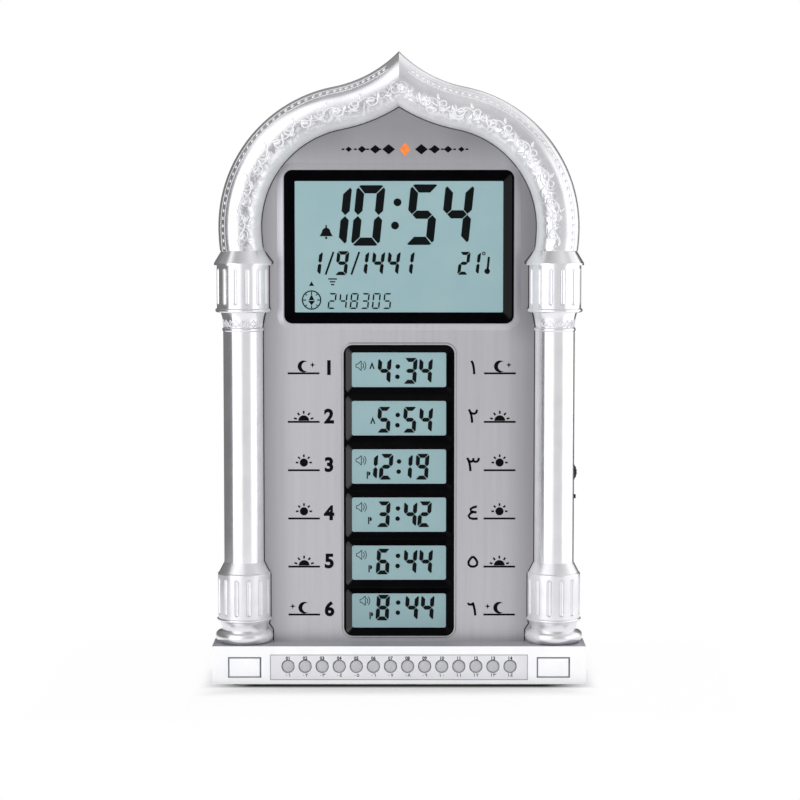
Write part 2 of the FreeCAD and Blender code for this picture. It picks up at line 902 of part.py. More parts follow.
def grille_slots():
    """Round-ended slots that fill a circle in front of the loudspeaker."""
    cutters = []
    r = grille_slot / 2
    rows = int((grille_radius - r) / grille_pitch)
    for i in range(-rows, rows + 1):
        z = speaker_z + i * grille_pitch
        half = math.sqrt(grille_radius ** 2 - (i * grille_pitch) ** 2) - r
        half = max(half, r)
        cutters.append(joined([box(-half, half, back_inner_y - 1, back_y + 1, z - r, z + r),
                               rod_y(-half, z, r, back_inner_y - 1, back_y + 1),
                               rod_y(half, z, r, back_inner_y - 1, back_y + 1)]))
    return cutters


def speaker_screw_places():
    """Four screws round the loudspeaker's rim."""
    places = []
    for k in range(4):
        x, z = polar((0, speaker_z), speaker_screw_radius, 45 + 90 * k)
        places.append((x, z))
    return places


def side_board_front_y():
    """Front face of the small board at the right side."""
    return split_y + wheel_front_gap + wheel_thickness + wheel_gap + pot_thickness


def side_board_right():
    """The side board's outer edge, just inside the cover's wall."""
    return rear_edge - rear_wall - 2.5


def side_post_places():
    """The side board's two screws."""
    x = side_board_right() - side_board_width + side_post_inset
    return [(x, side_board_low + side_post_inset), (x, side_board_high - side_post_inset)]


def knob_span():
    """Lowest and highest z that the switch knob reaches."""
    return knob_z - knob_height / 2, knob_z + knob_height / 2 + knob_travel


def knob_mid_y():
    """The knob's middle, in the depth of the switch body."""
    return side_board_front_y() - switch_body_depth / 2


def rear_cover():
    """The dark rear shell with battery bay, grille, screw posts and side slots."""
    base_edge = plinth_width / 2 - rear_base_inset
    w = rear_wall
    shell = cover_block(rear_edge, base_edge, foot_height, rear_base_drop, split_y, back_y)
    cavity = cover_block(rear_edge - w, base_edge - w, foot_height + w, rear_base_drop + w,
                         split_y - 1, back_inner_y)
    shell = shell.cut(cavity)
    half, low, high = bay_inner()
    bay = box(-half - bay_wall, half + bay_wall, split_y, back_inner_y,
              low - bay_wall, high + bay_wall)
    door_half, door_top = door_edges()
    axis_y, axis_z = hinge_axis()
    g = door_gap
    ledge = box(-door_half - g - bay_wall, door_half + g + bay_wall,
                axis_y - door_thickness - g - bay_wall, back_inner_y + fit_gap,
                axis_z - door_thickness - g - bay_wall, door_top + g + bay_wall)
    pin_end = door_half + hinge_pin_length
    lugs = [box(min(s * door_half, s * (pin_end + hinge_lug_wall)),
                max(s * door_half, s * (pin_end + hinge_lug_wall)),
                axis_y - hinge_lug_width, back_inner_y + fit_gap,
                axis_z - hinge_lug_width, axis_z + hinge_lug_width) for s in (-1, 1)]
    posts = [rod_y(x, z, case_post_radius, split_y, back_inner_y + fit_gap)
             for x, z in case_screw_positions()]
    posts += [rod_y(x, z, boss_radius, back_inner_y - speaker_flange - 3.0, back_inner_y + fit_gap)
              for x, z in speaker_screw_places()]
    posts += [rod_y(x, z, boss_radius, side_board_front_y() + board_thickness,
                    back_inner_y + fit_gap) for x, z in side_post_places()]
    posts += [rod_y(x, z, hanger_boss_radius, back_inner_y - hanger_screw_length,
                    back_inner_y + fit_gap) for x, z in hanger_screw_places()]
    shell = joined([shell, bay, ledge] + lugs + posts)
    cuts = [box(-half, half, split_y + bay_floor, back_y + 1, low, high),
            box(-door_half - g, door_half + g, axis_y - door_rest_gap, back_y + 1,
                axis_z - door_thickness - g, door_top + g),
            box(-door_half - g, door_half + g, axis_y - door_thickness - g, back_y + 1,
                axis_z - door_thickness - g, low - bay_wall)]
    cuts.append(Part.makeCylinder(hinge_pin_radius + hinge_pin_gap, 2 * (pin_end + g),
                                  Vector(-pin_end - g, axis_y, axis_z), Vector(1, 0, 0)))
    for x, z in case_screw_positions():
        cuts.append(rod_y(x, z, screw_hole_radius, split_y - 1, back_y + 1))
        cuts.append(rod_y(x, z, case_post_bore, split_y + case_screw_grip, back_y + 1))
    cuts += grille_slots()
    cuts += [rod_y(x, z, pilot_radius, split_y, back_inner_y) for x, z in speaker_screw_places()]
    cuts += [rod_y(x, z, pilot_radius, split_y, back_inner_y) for x, z in side_post_places()]
    wheel_y = split_y + wheel_front_gap
    cuts.append(box(rear_edge - w - 1, rear_edge + 1, wheel_y - wheel_gap,
                    wheel_y + wheel_thickness + wheel_gap, wheel_z - wheel_radius,
                    wheel_z + wheel_radius))
    k0, k1 = knob_span()
    cuts.append(box(rear_edge - w - 1, rear_edge + 1, knob_mid_y() - knob_width / 2 - knob_gap,
                    knob_mid_y() + knob_width / 2 + knob_gap, k0 - knob_gap, k1 + knob_gap))
    cuts.append(hanger_opening(back_inner_y - hanger_room, back_y + 1, hanger_room))
    cuts += [rod_y(x, z, hanger_screw_radius + fit_gap / 2, back_inner_y - hanger_screw_length,
                   back_y + 1) for x, z in hanger_screw_places()]
    cuts += [foot(x, y) for x, y in foot_places() if y > split_y]
    return shell.cut(cuts)


def battery_door():
    """The door: a flush plate with a rounded lower edge that turns on two pins."""
    half, top = door_edges()
    axis_y, axis_z = hinge_axis()
    t = door_thickness
    plate = box(-half, half, axis_y, back_y, axis_z, top)
    knuckle = Part.makeCylinder(t, 2 * half, Vector(-half, axis_y, axis_z), Vector(1, 0, 0))
    pin_half = half + hinge_pin_length
    pin = Part.makeCylinder(hinge_pin_radius, 2 * pin_half, Vector(-pin_half, axis_y, axis_z),
                            Vector(1, 0, 0))
    notch_top = top - finger_notch_height
    notch = box(-finger_notch_width / 2, finger_notch_width / 2, back_y - finger_notch_depth,
                back_y + 1, notch_top - finger_notch_height, notch_top)
    return joined([plate, knuckle, pin]).cut(notch)


def cell_heights():
    """Heights of the three cells."""
    return [bay_centre_z + (i - (cell_count - 1) / 2) * cell_pitch for i in range(cell_count)]


def cell_depth():
    """Depth of the cells' axes in the bay."""
    return split_y + bay_floor + cell_gap + cell_radius


def batteries():
    """Three round cells lying side by side, each one turned end for end from the last."""
    cells = []
    y = cell_depth()
    for i, z in enumerate(cell_heights()):
        side = 1 if i % 2 else -1
        start = -side * (cell_length + cell_nub_height) / 2
        axis = Vector(side, 0, 0)
        body = Part.makeCylinder(cell_radius, cell_length, Vector(start, y, z), axis)
        nub = Part.makeCylinder(cell_nub_radius, cell_length + cell_nub_height,
                                Vector(start, y, z), axis)
        cells.append(joined([body, nub]))
    return group(cells)


def battery_contacts():
    """Bowed spring leaves at both ends of each cell."""
    half, _, _ = bay_inner()
    gap = bay_end_room - contact_thickness
    leaves = []
    for z in cell_heights():
        for side in (-1, 1):
            y0 = cell_depth() - contact_width / 2
            y1 = cell_depth() + contact_width / 2
            wall = half
            bow = min(contact_bow, gap)
            reach = wall - contact_thickness - bow

            def corner(x, dz):
                return Vector(side * x, y0, z + dz)

            h = contact_width / 2
            outer = [corner(wall, -h), corner(wall, h), corner(wall - contact_thickness, h)]
            inner = [corner(reach, h / 3), corner(reach, -h / 3),
                     corner(wall - contact_thickness, -h)]
            face = Part.Face(Part.makePolygon(outer + inner + [outer[0]]))
            leaves.append(face.extrude(Vector(0, y1 - y0, 0)))
    return group(leaves)


def speaker_outline():
    """Depths of the loudspeaker's flange, cone and magnet faces."""
    flange_y = back_inner_y - speaker_flange
    magnet_y = back_inner_y - speaker_depth
    return flange_y, magnet_y


def speaker_basket():
    """The pressed sheet basket with its flange against the cover."""
    flange_y, magnet_y = speaker_outline()
    plate_y = magnet_y + magnet_height
    shoulder_y = (plate_y + flange_y) / 2
    r = speaker_radius - speaker_rim
    s = speaker_sheet
    outline = [(r, back_inner_y), (speaker_radius, back_inner_y), (speaker_radius, flange_y),
               (r + s, flange_y), (r + s, shoulder_y), (magnet_radius + s, plate_y),
               (pole_hole_radius, plate_y), (pole_hole_radius, plate_y + s),
               (magnet_radius, plate_y + s), (r, shoulder_y + s)]
    return turned_y(0, speaker_z, outline)


def speaker_cone():
    """The paper cone with its dust cap, inside the basket."""
    r = speaker_radius - speaker_rim - cone_gap
    top = back_inner_y - 2 * cone_gap
    low = top - cone_dip
    s = cone_sheet
    neck = cone_neck_radius
    edge = r - cone_edge
    outline = [(0, low + cone_cap_rise), (neck, low + s), (edge, top - s), (r, top),
               (r, top - s), (edge, top - 2 * s), (neck, low), (0, low + cone_cap_rise - s)]
    return turned_y(0, speaker_z, outline)


def speaker_magnet():
    """The ring magnet and yoke behind the basket, with chamfered edges."""
    _, magnet_y = speaker_outline()
    top = magnet_y + magnet_height
    c = 0.6
    outline = [(0, magnet_y), (magnet_radius - c, magnet_y), (magnet_radius, magnet_y + c),
               (magnet_radius, top), (0, top)]
    return turned_y(0, speaker_z, outline)


def speaker_screws():
    """Four screws whose heads clamp the loudspeaker's flange to its posts."""
    y = back_inner_y - speaker_flange - 3.0
    return group([screw(x, z, y, 3.4, 1) for x, z in speaker_screw_places()])


def case_screws():
    """Six long screws in the rear cover's wells."""
    y = split_y + case_screw_grip
    return group([screw(x, z, y, case_screw_length) for x, z in case_screw_positions()])


def volume_wheel():
    """The thumbwheel: a grooved disc with a stub axle behind it."""
    x = wheel_x
    y0 = split_y + wheel_front_gap
    y1 = y0 + wheel_thickness
    disc = rod_y(x, wheel_z, wheel_radius, y0, y1)
    stub_end = side_board_front_y() - wheel_gap
    stub = rod_y(x, wheel_z, wheel_stub_radius, y1 - fit_gap, stub_end)
    cutters = []
    for k in range(wheel_grooves):
        cx, cz = polar((x, wheel_z), wheel_radius, 360.0 * k / wheel_grooves)
        cutters.append(rod_y(cx, cz, wheel_groove_radius, y0 - 1, y1 + 1))
    return joined([disc, stub]).cut(cutters)


def volume_pot():
    """The wheel's resistor body, whose boss carries the stub axle."""
    x = wheel_x
    y1 = side_board_front_y()
    y0 = y1 - pot_thickness
    block = box(x - pot_length, x - pot_boss_radius, y0, y1, wheel_z - pot_width / 2,
                wheel_z + pot_width / 2)
    nose = box(x - pot_boss_radius - 1, x, y0, y1, wheel_z - pot_boss_radius,
               wheel_z + pot_boss_radius)
    boss = rod_y(x, wheel_z, pot_boss_radius, y0, y1)
    hole = rod_y(x, wheel_z, wheel_stub_radius + wheel_stub_gap, y0 - 1, y1 + 1)
    return joined([block, nose, boss]).cut(hole)


def switch_body():
    """The slide switch's body, with the slot that its lever runs in."""
    right = side_board_right()
    y1 = side_board_front_y()
    k0, k1 = knob_span()
    middle = (k0 + k1) / 2
    body = box(right - switch_body_width, right, y1 - switch_body_depth, y1,
               middle - switch_length / 2, middle + switch_length / 2)
    slot = box(right - knob_root - knob_gap, right + 1, knob_mid_y() - knob_width / 2 - knob_gap,
               knob_mid_y() + knob_width / 2 + knob_gap, k0 - knob_gap, k1 + knob_gap)
    return body.cut(slot)


def switch_knob():
    """The lever that slides up and down, with a rounded end outside the cover."""
    right = side_board_right()
    lever = box(right - knob_root, knob_reach, knob_mid_y() - knob_width / 2,
                knob_mid_y() + knob_width / 2, knob_z - knob_height / 2, knob_z + knob_height / 2)
    tips = [e for e in lever.Edges if all(abs(v.X - knob_reach) < 1e-6 for v in e.Vertexes)]
    return lever.makeFillet(knob_height / 6, tips)


def side_board():
    """The small board that carries the thumbwheel and the slide switch."""
    y0 = side_board_front_y()
    right = side_board_right()
    board = box(right - side_board_width, right, y0, y0 + board_thickness,
                side_board_low, side_board_high)
    holes = [rod_y(x, z, screw_hole_radius, y0 - 1, y0 + board_thickness + 1)
             for x, z in side_post_places()]
    return board.cut(holes)


def hanger_plate():
    """The steel keyhole plate, let into the back."""
    y1 = back_y + hanger_thickness
    z = hanger_z + hanger_slot_length / 2
    plate = round_plate(z, hanger_width, hanger_height, hanger_corner, back_y, y1)
    cuts = [hanger_opening(back_y - 1, y1 + 1)]
    for x, z in hanger_screw_places():
        cuts.append(rod_y(x, z, hanger_screw_radius + fit_gap / 2, back_y - 1, y1 + 1))
        cuts.append(rod_y(x, z, hanger_head_radius + fit_gap, y1 - hanger_head_height, y1 + 1))
    return plate.cut(cuts)


def hanger_screws():
    """Two small flush screws of the hanger plate."""
    y = back_y + hanger_thickness - hanger_head_height
    screws = []
    for x, z in hanger_screw_places():
        head = rod_y(x, z, hanger_head_radius, y, y + hanger_head_height - fit_gap)
        shank = rod_y(x, z, hanger_screw_radius, y - hanger_screw_length + 1, y)
        screws.append(joined([head, shank]))
    return group(screws)


def all_parts():
    """Every named piece of the clock."""
    main_glass = main_glass_size()
    times_glass = times_glass_size()
    bosses = board_boss_places()
    parts = {
        "front_casing": front_casing(),
        "arch_frame": arch_frame(),
        "left_column_base": column_base(-column_x),
        "right_column_base": column_base(column_x),
        "left_column_shaft": column_shaft(-column_x),
        "right_column_shaft": column_shaft(column_x),
        "left_capital": column_capital(-column_x),
        "right_capital": column_capital(column_x),
        "plinth": plinth(),
        "key_label_plate": key_label_plate(),
        "key_board": key_board(),
        "key_switches": key_switches(),
        "key_board_screws": key_board_screws(),
        "main_display_bezel": main_display_bezel(),
        "main_lcd": display_glass(main_centre_z, main_glass),
        "main_lcd_holder": glass_holder(main_centre_z, main_glass),
        "main_contact_strips": contact_strips(main_centre_z, main_glass),
        "main_board": display_board(bosses[:4]),
        "times_display_bezel": times_display_bezel(),
        "times_lcd": display_glass(times_centre_z, times_glass),
        "times_lcd_holder": glass_holder(times_centre_z, times_glass),
        "times_contact_strips": contact_strips(times_centre_z, times_glass),
        "times_board": display_board(bosses[4:]),
        "board_parts": board_parts(),
        "board_screws": board_screws(),
        "rear_cover": rear_cover(),
        "battery_door": battery_door(),
        "batteries": batteries(),
        "battery_contacts": battery_contacts(),
        "speaker_basket": speaker_basket(),
        "speaker_cone": speaker_cone(),
        "speaker_magnet": speaker_magnet(),
        "speaker_screws": speaker_screws(),
        "case_screws": case_screws(),
        "feet": feet(),
        "volume_wheel": volume_wheel(),
        "volume_pot": volume_pot(),
        "switch_body": switch_body(),
        "switch_knob": switch_knob(),
        "side_board": side_board(),
        "hanger_plate": hanger_plate(),
        "hanger_screws": hanger_screws(),
    }
    for number, x in enumerate(key_positions(), 1):
        parts["key_%02d" % number] = key(x)
    return parts


os.makedirs("parts", exist_ok=True)
for name, shape in all_parts().items():
    shape.exportStep(os.path.join("parts", name + ".step"))
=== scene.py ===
"""Looks of the arch-shaped prayer clock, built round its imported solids.

Metres in Blender, +Z up, front towards -Y. Sizes inside the classes are millimetres.
"""

from __future__ import annotations

import logging
import math
from dataclasses import dataclass
from enum import Enum
from typing import Callable, Iterable, Sequence, Union

import bpy
from mathutils import Matrix, Vector


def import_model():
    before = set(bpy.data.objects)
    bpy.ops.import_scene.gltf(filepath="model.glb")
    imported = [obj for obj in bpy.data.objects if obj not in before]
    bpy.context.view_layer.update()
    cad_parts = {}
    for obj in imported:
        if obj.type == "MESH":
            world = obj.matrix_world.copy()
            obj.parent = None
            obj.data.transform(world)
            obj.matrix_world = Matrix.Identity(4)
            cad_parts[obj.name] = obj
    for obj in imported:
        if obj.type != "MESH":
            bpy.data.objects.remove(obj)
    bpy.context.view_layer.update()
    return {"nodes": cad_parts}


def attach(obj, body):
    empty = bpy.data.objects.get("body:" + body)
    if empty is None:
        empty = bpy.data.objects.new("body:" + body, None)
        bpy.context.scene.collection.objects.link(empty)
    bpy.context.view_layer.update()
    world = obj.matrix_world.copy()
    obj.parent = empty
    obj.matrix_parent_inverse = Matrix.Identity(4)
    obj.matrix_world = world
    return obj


LOG = logging.getLogger("clock")
MM = 0.001
Point = tuple[float, float]
Triple = tuple[float, float, float]
Colour = Triple
Number = Union[float, "Shade"]


class Plane(Enum):
    """Depths of the faces that prints and inks lie on, in millimetres."""

    PANEL = -6.1
    GLASS = -5.1
    LABEL = -23.5
    DOOR = 22.6


class Side(Enum):
    """Left or right half of the clock, as seen from the front."""

    LEFT = -1
    RIGHT = 1

    @property
    def word(self) -> str:
        """The side's name in a piece's name."""
        return self.name.lower()


# Shader tools


def linear(colour: Colour) -> tuple[float, float, float, float]:
    """A display colour as Blender's linear one.

    Args:
        colour: red, green and blue from 0 to 255.

    Returns:
        Linear red, green, blue and an alpha of 1.
    """
    parts = []
    for level in colour:
        share = level / 255
        parts.append(share / 12.92 if share <= 0.04045 else ((share + 0.055) / 1.055) ** 2.4)
    return (parts[0], parts[1], parts[2], 1.0)


def grey(level: float) -> tuple[float, float, float, float]:
    """A linear grey."""
    return (level, level, level, 1.0)


class Shade:
    """A value socket, with arithmetic that adds Math nodes."""

    def __init__(self, graph: "Graph", socket: bpy.types.NodeSocket) -> None:
        """Keep the graph that the socket is in."""
        self.graph = graph
        self.socket = socket

    def _math(self, operation: str, first: Number, second: Number) -> "Shade":
        """One Math node on two values."""
        node = self.graph.node("ShaderNodeMath", {"operation": operation}, {0: first, 1: second})
        return Shade(self.graph, node.outputs[0])

    def __add__(self, other: Number) -> "Shade":
        """Sum."""
        return self._math("ADD", self, other)

    def __radd__(self, other: Number) -> "Shade":
        """Sum, with the number first."""
        return self._math("ADD", other, self)

    def __sub__(self, other: Number) -> "Shade":
        """Difference."""
        return self._math("SUBTRACT", self, other)

    def __rsub__(self, other: Number) -> "Shade":
        """Difference, with the number first."""
        return self._math("SUBTRACT", other, self)

    def __mul__(self, other: Number) -> "Shade":
        """Product."""
        return self._math("MULTIPLY", self, other)

    def __rmul__(self, other: Number) -> "Shade":
        """Product, with the number first."""
        return self._math("MULTIPLY", other, self)

    def __truediv__(self, other: Number) -> "Shade":
        """Quotient."""
        return self._math("DIVIDE", self, other)

    def absolute(self) -> "Shade":
        """The value without its sign."""
        return self._math("ABSOLUTE", self, 0.0)

    def reach(self, other: "Shade") -> "Shade":
        """Length of the flat vector of this value and another."""
        return self._math("SQRT", self * self + other * other, 0.0)

    def turn_from(self, ahead: "Shade") -> "Shade":
        """Angle in degrees of this value beside another."""
        return self._math("ARCTAN2", self, ahead) * (180 / math.pi)

    def at_least(self, other: Number) -> "Shade":
        """The larger of two values."""
        return self._math("MAXIMUM", self, other)

    def above(self, other: Number) -> "Shade":
        """1 where this value is the larger, else 0."""
        return self._math("GREATER_THAN", self, other)

    def rise(self, low: float, high: float) -> "Shade":
        """A smooth step from 0 at low to 1 at high."""
        node = self.graph.node("ShaderNodeMapRange", {"interpolation_type": "SMOOTHSTEP"},
                               {"Value": self, "From Min": low, "From Max": high})
        return Shade(self.graph, node.outputs[0])

    def band(self, low: float, high: float, soft: float) -> "Shade":
        """1 between low and high, with soft edges."""
        return self.rise(low - soft, low + soft) * (1 - self.rise(high - soft, high + soft))


class Graph:
    """The nodes of one material or world, added by type, settings and socket values."""

    def __init__(self, owner: Union[bpy.types.Material, bpy.types.World]) -> None:
        """Clear the owner's nodes.

        Args:
            owner: the material or the world.
        """
        owner.use_nodes = True
        self.tree = owner.node_tree
        self.tree.nodes.clear()

    def node(self, kind: str, settings: dict[str, object] | None = None,
             values: dict[Union[int, str], object] | None = None) -> bpy.types.Node:
        """Add one node.

        Args:
            kind: the node's type.
            settings: its properties, set first.
            values: numbers, colours or links for its input sockets.

        Returns:
            The new node.
        """
        made = self.tree.nodes.new(kind)
        for name, setting in (settings or {}).items():
            setattr(made, name, setting)
        for key, value in (values or {}).items():
            socket = made.inputs[key]
            if isinstance(value, Shade):
                value = value.socket
            if isinstance(value, bpy.types.NodeSocket):
                self.tree.links.new(value, socket)
            else:
                socket.default_value = value
        return made

    def position(self) -> bpy.types.NodeSocket:
        """The point on the piece, in metres."""
        return self.node("ShaderNodeTexCoord").outputs["Object"]

    def stretched(self, scale: Triple) -> bpy.types.NodeSocket:
        """The point on the piece, scaled along each axis."""
        mapping = self.node("ShaderNodeMapping", None, {"Vector": self.position(), "Scale": scale})
        return mapping.outputs[0]

    def noise(self, scale: float, detail: float = 3.0, where: object = None) -> Shade:
        """Cloudy noise from 0 to 1."""
        node = self.node("ShaderNodeTexNoise", None,
                         {"Vector": where or self.position(), "Scale": scale, "Detail": detail})
        return Shade(self, node.outputs[0])

    def cells(self, scale: float) -> Shade:
        """Distance to the nearest of many scattered points."""
        node = self.node("ShaderNodeTexVoronoi", None, {"Vector": self.position(), "Scale": scale})
        return Shade(self, node.outputs["Distance"])

    def part(self, vector: bpy.types.NodeSocket, name: str) -> Shade:
        """One part of a vector."""
        return Shade(self, self.node("ShaderNodeSeparateXYZ", None, {0: vector}).outputs[name])

    def axis(self, name: str) -> Shade:
        """One coordinate of the point on the piece, in metres."""
        return self.part(self.position(), name)

    def facing(self, name: str) -> Shade:
        """One part of the surface's normal."""
        return self.part(self.node("ShaderNodeNewGeometry").outputs["Normal"], name)

    def blend(self, share: Number, first: object, second: object) -> bpy.types.NodeSocket:
        """Mix two colours by a share from 0 to 1."""
        node = self.node("ShaderNodeMix", {"data_type": "RGBA"}, {0: share, 6: first, 7: second})
        return node.outputs[2]

    def bump(self, height: Shade, depth: float) -> bpy.types.NodeSocket:
        """Surface relief of a depth in metres."""
        node = self.node("ShaderNodeBump", None,
                         {"Height": height, "Distance": depth, "Strength": 1.0})
        return node.outputs[0]

    def show(self, shader: bpy.types.Node, kind: str = "Material") -> None:
        """Send a shader to the material's or the world's output."""
        self.node("ShaderNodeOutput" + kind, None, {"Surface": shader.outputs[0]})


@dataclass(frozen=True)
class Finish:
    """A moulded surface with cloudy tone and fine grain.

    Colours are display values from 0 to 255, lengths are millimetres.
    """

    name: str
    colour: Colour
    second: Colour
    roughness: float
    metallic: float = 0.0
    coat: float = 0.0
    specular: float = 0.5
    cloud: float = 12.0
    grain: float = 0.8
    grain_depth: float = 0.004
    rough_spread: float = 0.08

    def make(self) -> bpy.types.Material:
        """Build the material.

        Returns:
            The new material.
        """
        material = bpy.data.materials.new(self.name)
        graph = Graph(material)
        shader = graph.node("ShaderNodeBsdfPrincipled", None, {
            "Base Color": self.tone(graph),
            "Roughness": self.gloss(graph),
            "Metallic": self.metal(graph),
            "Coat Weight": self.shine(graph),
            "Coat Roughness": 0.08,
            "Specular IOR Level": self.specular,
            "Normal": graph.bump(self.relief(graph), self.grain_depth * MM),
        })
        graph.show(shader)
        return material

    def tone(self, graph: Graph) -> bpy.types.NodeSocket:
        """Cloudy colour between the two tones."""
        share = graph.noise(1 / (self.cloud * MM), 4.0).rise(0.3, 0.7)
        return graph.blend(share, linear(self.colour), linear(self.second))

    def gloss(self, graph: Graph) -> Shade:
        """Roughness that wanders a little."""
        cloud = graph.noise(1 / (self.cloud * 0.6 * MM), 2.0)
        return cloud * self.rough_spread + (self.roughness - self.rough_spread / 2)

    def metal(self, graph: Graph) -> Union[float, Shade]:
        """Share of bare metal."""
        return self.metallic

    def shine(self, graph: Graph) -> Union[float, Shade]:
        """Weight of the clear coat."""
        return self.coat

    def relief(self, graph: Graph) -> Shade:
        """Height of the fine grain."""
        return graph.noise(1 / (self.grain * MM), 3.0)


@dataclass(frozen=True)
class PlatedSilver(Finish):
    """Vacuum-plated plastic: mirror metal over a faintly wavy moulding."""

    wave: float = 22.0
    thin_from: float = 82.0
    thin_to: float = 87.0
    metal_lost: float = 0.62
    gloss_lost: float = 0.2

    def inner(self, graph: Graph) -> Shade:
        """1 on the side that faces the panel, where the plating is thin."""
        return 1 - (graph.axis("X") / MM).absolute().rise(self.thin_from, self.thin_to)

    def metal(self, graph: Graph) -> Shade:
        """Less metal where the plating is thin."""
        return self.inner(graph) * -self.metal_lost + self.metallic

    def gloss(self, graph: Graph) -> Shade:
        """Duller where the plating is thin."""
        return super().gloss(graph) + self.inner(graph) * self.gloss_lost

    def relief(self, graph: Graph) -> Shade:
        """Long waves with very fine pits.

        Args:
            graph: the material's nodes.

        Returns:
            Height from 0 to 1.
        """
        waves = graph.noise(1 / (self.wave * MM), 1.0)
        pits = graph.noise(1 / (self.grain * MM), 2.0)
        return waves * 0.85 + pits * 0.15


@dataclass(frozen=True)
class EmbossedSilver(PlatedSilver):
    """Plated silver with shallow leafy embossing along the inner half of the arch.

    The arcs of the haunch and the crown are the arch's own, seen from the front.
    """

    haunch: Point = (23.26, 275.53)
    haunch_radius: float = 72.4
    crown: Point = (53.6, 433.03)
    crown_radius: float = 88.0
    flex_x: float = 36.95
    thin_from: float = -11.0
    thin_to: float = -6.5
    band_low: float = -8.0
    band_high: float = -0.5
    lump: float = 6.5
    # Painted shade: the grey of the embossed lumps.
    lump_shade: Colour = (172, 171, 177)
    lump_shade_share: float = 0.8
    wave_share: float = 0.35

    def offset(self, graph: Graph) -> Shade:
        """Distance outwards from the arch's centre line, seen from the front.

        Args:
            graph: the material's nodes.

        Returns:
            Millimetres, negative inside the centre line.
        """
        x = (graph.axis("X") / MM).absolute()
        z = graph.axis("Z") / MM
        below = (x - self.haunch[0]).reach(z - self.haunch[1]) - self.haunch_radius
        above = self.crown_radius - (x - self.crown[0]).reach(z - self.crown[1])
        on_haunch = x.above(self.flex_x)
        return below * on_haunch + above * (1 - on_haunch)

    def inner(self, graph: Graph) -> Shade:
        """1 along the inner edge."""
        return 1 - self.offset(graph).rise(self.thin_from, self.thin_to)

    def leafy(self, graph: Graph) -> Shade:
        """Curling lumps inside the band.

        Args:
            graph: the material's nodes.

        Returns:
            Height of the lumps from 0 to 1.
        """
        twisted = graph.node("ShaderNodeTexNoise", {"noise_dimensions": "3D"}, {
            "Vector": graph.position(), "Scale": 1 / (self.lump * MM), "Detail": 1.5,
            "Distortion": 1.4})
        lumps = Shade(graph, twisted.outputs[0]).band(0.42, 0.58, 0.1)
        return lumps * self.offset(graph).band(self.band_low, self.band_high, 3.0)

    def tone(self, graph: Graph) -> bpy.types.NodeSocket:
        """Painted shade: greyer on the lumps of the band."""
        share = self.leafy(graph) * self.lump_shade_share
        return graph.blend(share, super().tone(graph), linear(self.lump_shade))

    def relief(self, graph: Graph) -> Shade:
        """Leafy lumps in the band, long waves elsewhere."""
        return self.leafy(graph) + graph.noise(1 / (self.wave * MM), 1.0) * self.wave_share


@dataclass(frozen=True)
class PaintedPanel(Finish):
    """Silver paint with fine flakes and faint upright streaks, with painted shade at its sides and
    top, right of the wide display and under the arch's haunches.

    Ranges of three numbers are low, high and how soft their ends are.
    """

    flake: float = 0.18
    flake_share: float = 0.35
    streak: Triple = (420.0, 420.0, 14.0)
    # Painted shade: the darker colour of the sides and the top.
    edge: Colour = (152, 151, 156)
    edge_x: Point = (60.0, 84.0)
    edge_z: Point = (285.0, 340.0)
    edge_share: float = 0.95
    # Painted shade right of the wide display and under the arch's haunches.
    shade: Colour = (104, 103, 109)
    beside_x: Point = (60.0, 74.0)
    beside_z: Triple = (212.0, 312.0, 12.0)
    beside_share: float = 0.36
    haunch_x: Triple = (32.0, 66.0, 10.0)
    haunch_z: Triple = (322.0, 356.0, 10.0)
    haunch_share: float = 0.26

    def tone(self, graph: Graph) -> bpy.types.NodeSocket:
        """Flakes and streaks, with painted shade at the sides and top, right of the wide display and
        under the haunches.

        Args:
            graph: the material's nodes.

        Returns:
            The colour.
        """
        flakes = graph.cells(1 / (self.flake * MM)).rise(0.2, 0.7)
        streaks = graph.noise(1.0, 3.0, graph.stretched(self.streak))
        share = flakes * self.flake_share + streaks * (1 - self.flake_share)
        paint = graph.blend(share.rise(0.25, 0.75), linear(self.colour), linear(self.second))
        x = graph.axis("X") / MM
        z = graph.axis("Z") / MM
        off = x.absolute()
        # Painted shade, darker towards the sides and towards the top.
        middle = (1 - off.rise(*self.edge_x)) * (1 - z.rise(*self.edge_z) * self.edge_share)
        # Painted shade right of the wide display and under the haunches.
        beside = x.rise(*self.beside_x) * z.band(*self.beside_z) * self.beside_share
        haunch = off.band(*self.haunch_x) * z.band(*self.haunch_z) * self.haunch_share
        paint_with_edge_shade = graph.blend(1 - middle, paint, linear(self.edge))
        return graph.blend(beside.at_least(haunch), paint_with_edge_shade, linear(self.shade))

    def relief(self, graph: Graph) -> Shade:
        """The flakes, and orange peel under them."""
        return graph.cells(1 / (self.flake * MM)) * 0.5 + graph.noise(1 / (2.4 * MM), 1.0) * 0.5


@dataclass(frozen=True)
class PlinthPaint(Finish):
    """White paint, with painted shade greying what faces upwards."""

    # Painted shade: the grey of the upward faces.
    thin: Colour = (166, 166, 172)

    def tone(self, graph: Graph) -> bpy.types.NodeSocket:
        """Painted shade: greyer on top."""
        upward = graph.facing("Z").rise(0.75, 0.95)
        return graph.blend(upward, super().tone(graph), linear(self.thin))


@dataclass(frozen=True)
class GlossyFrame(Finish):
    """Black frame with a dull face and polished bevels on one side."""

    lit_side: float = -1.0
    polish: float = 0.2

    def shine(self, graph: Graph) -> Shade:
        """Clear coat on the bevels that face the lit side."""
        across = graph.facing("X") * self.lit_side
        return across.rise(0.2, 0.4) * self.polish


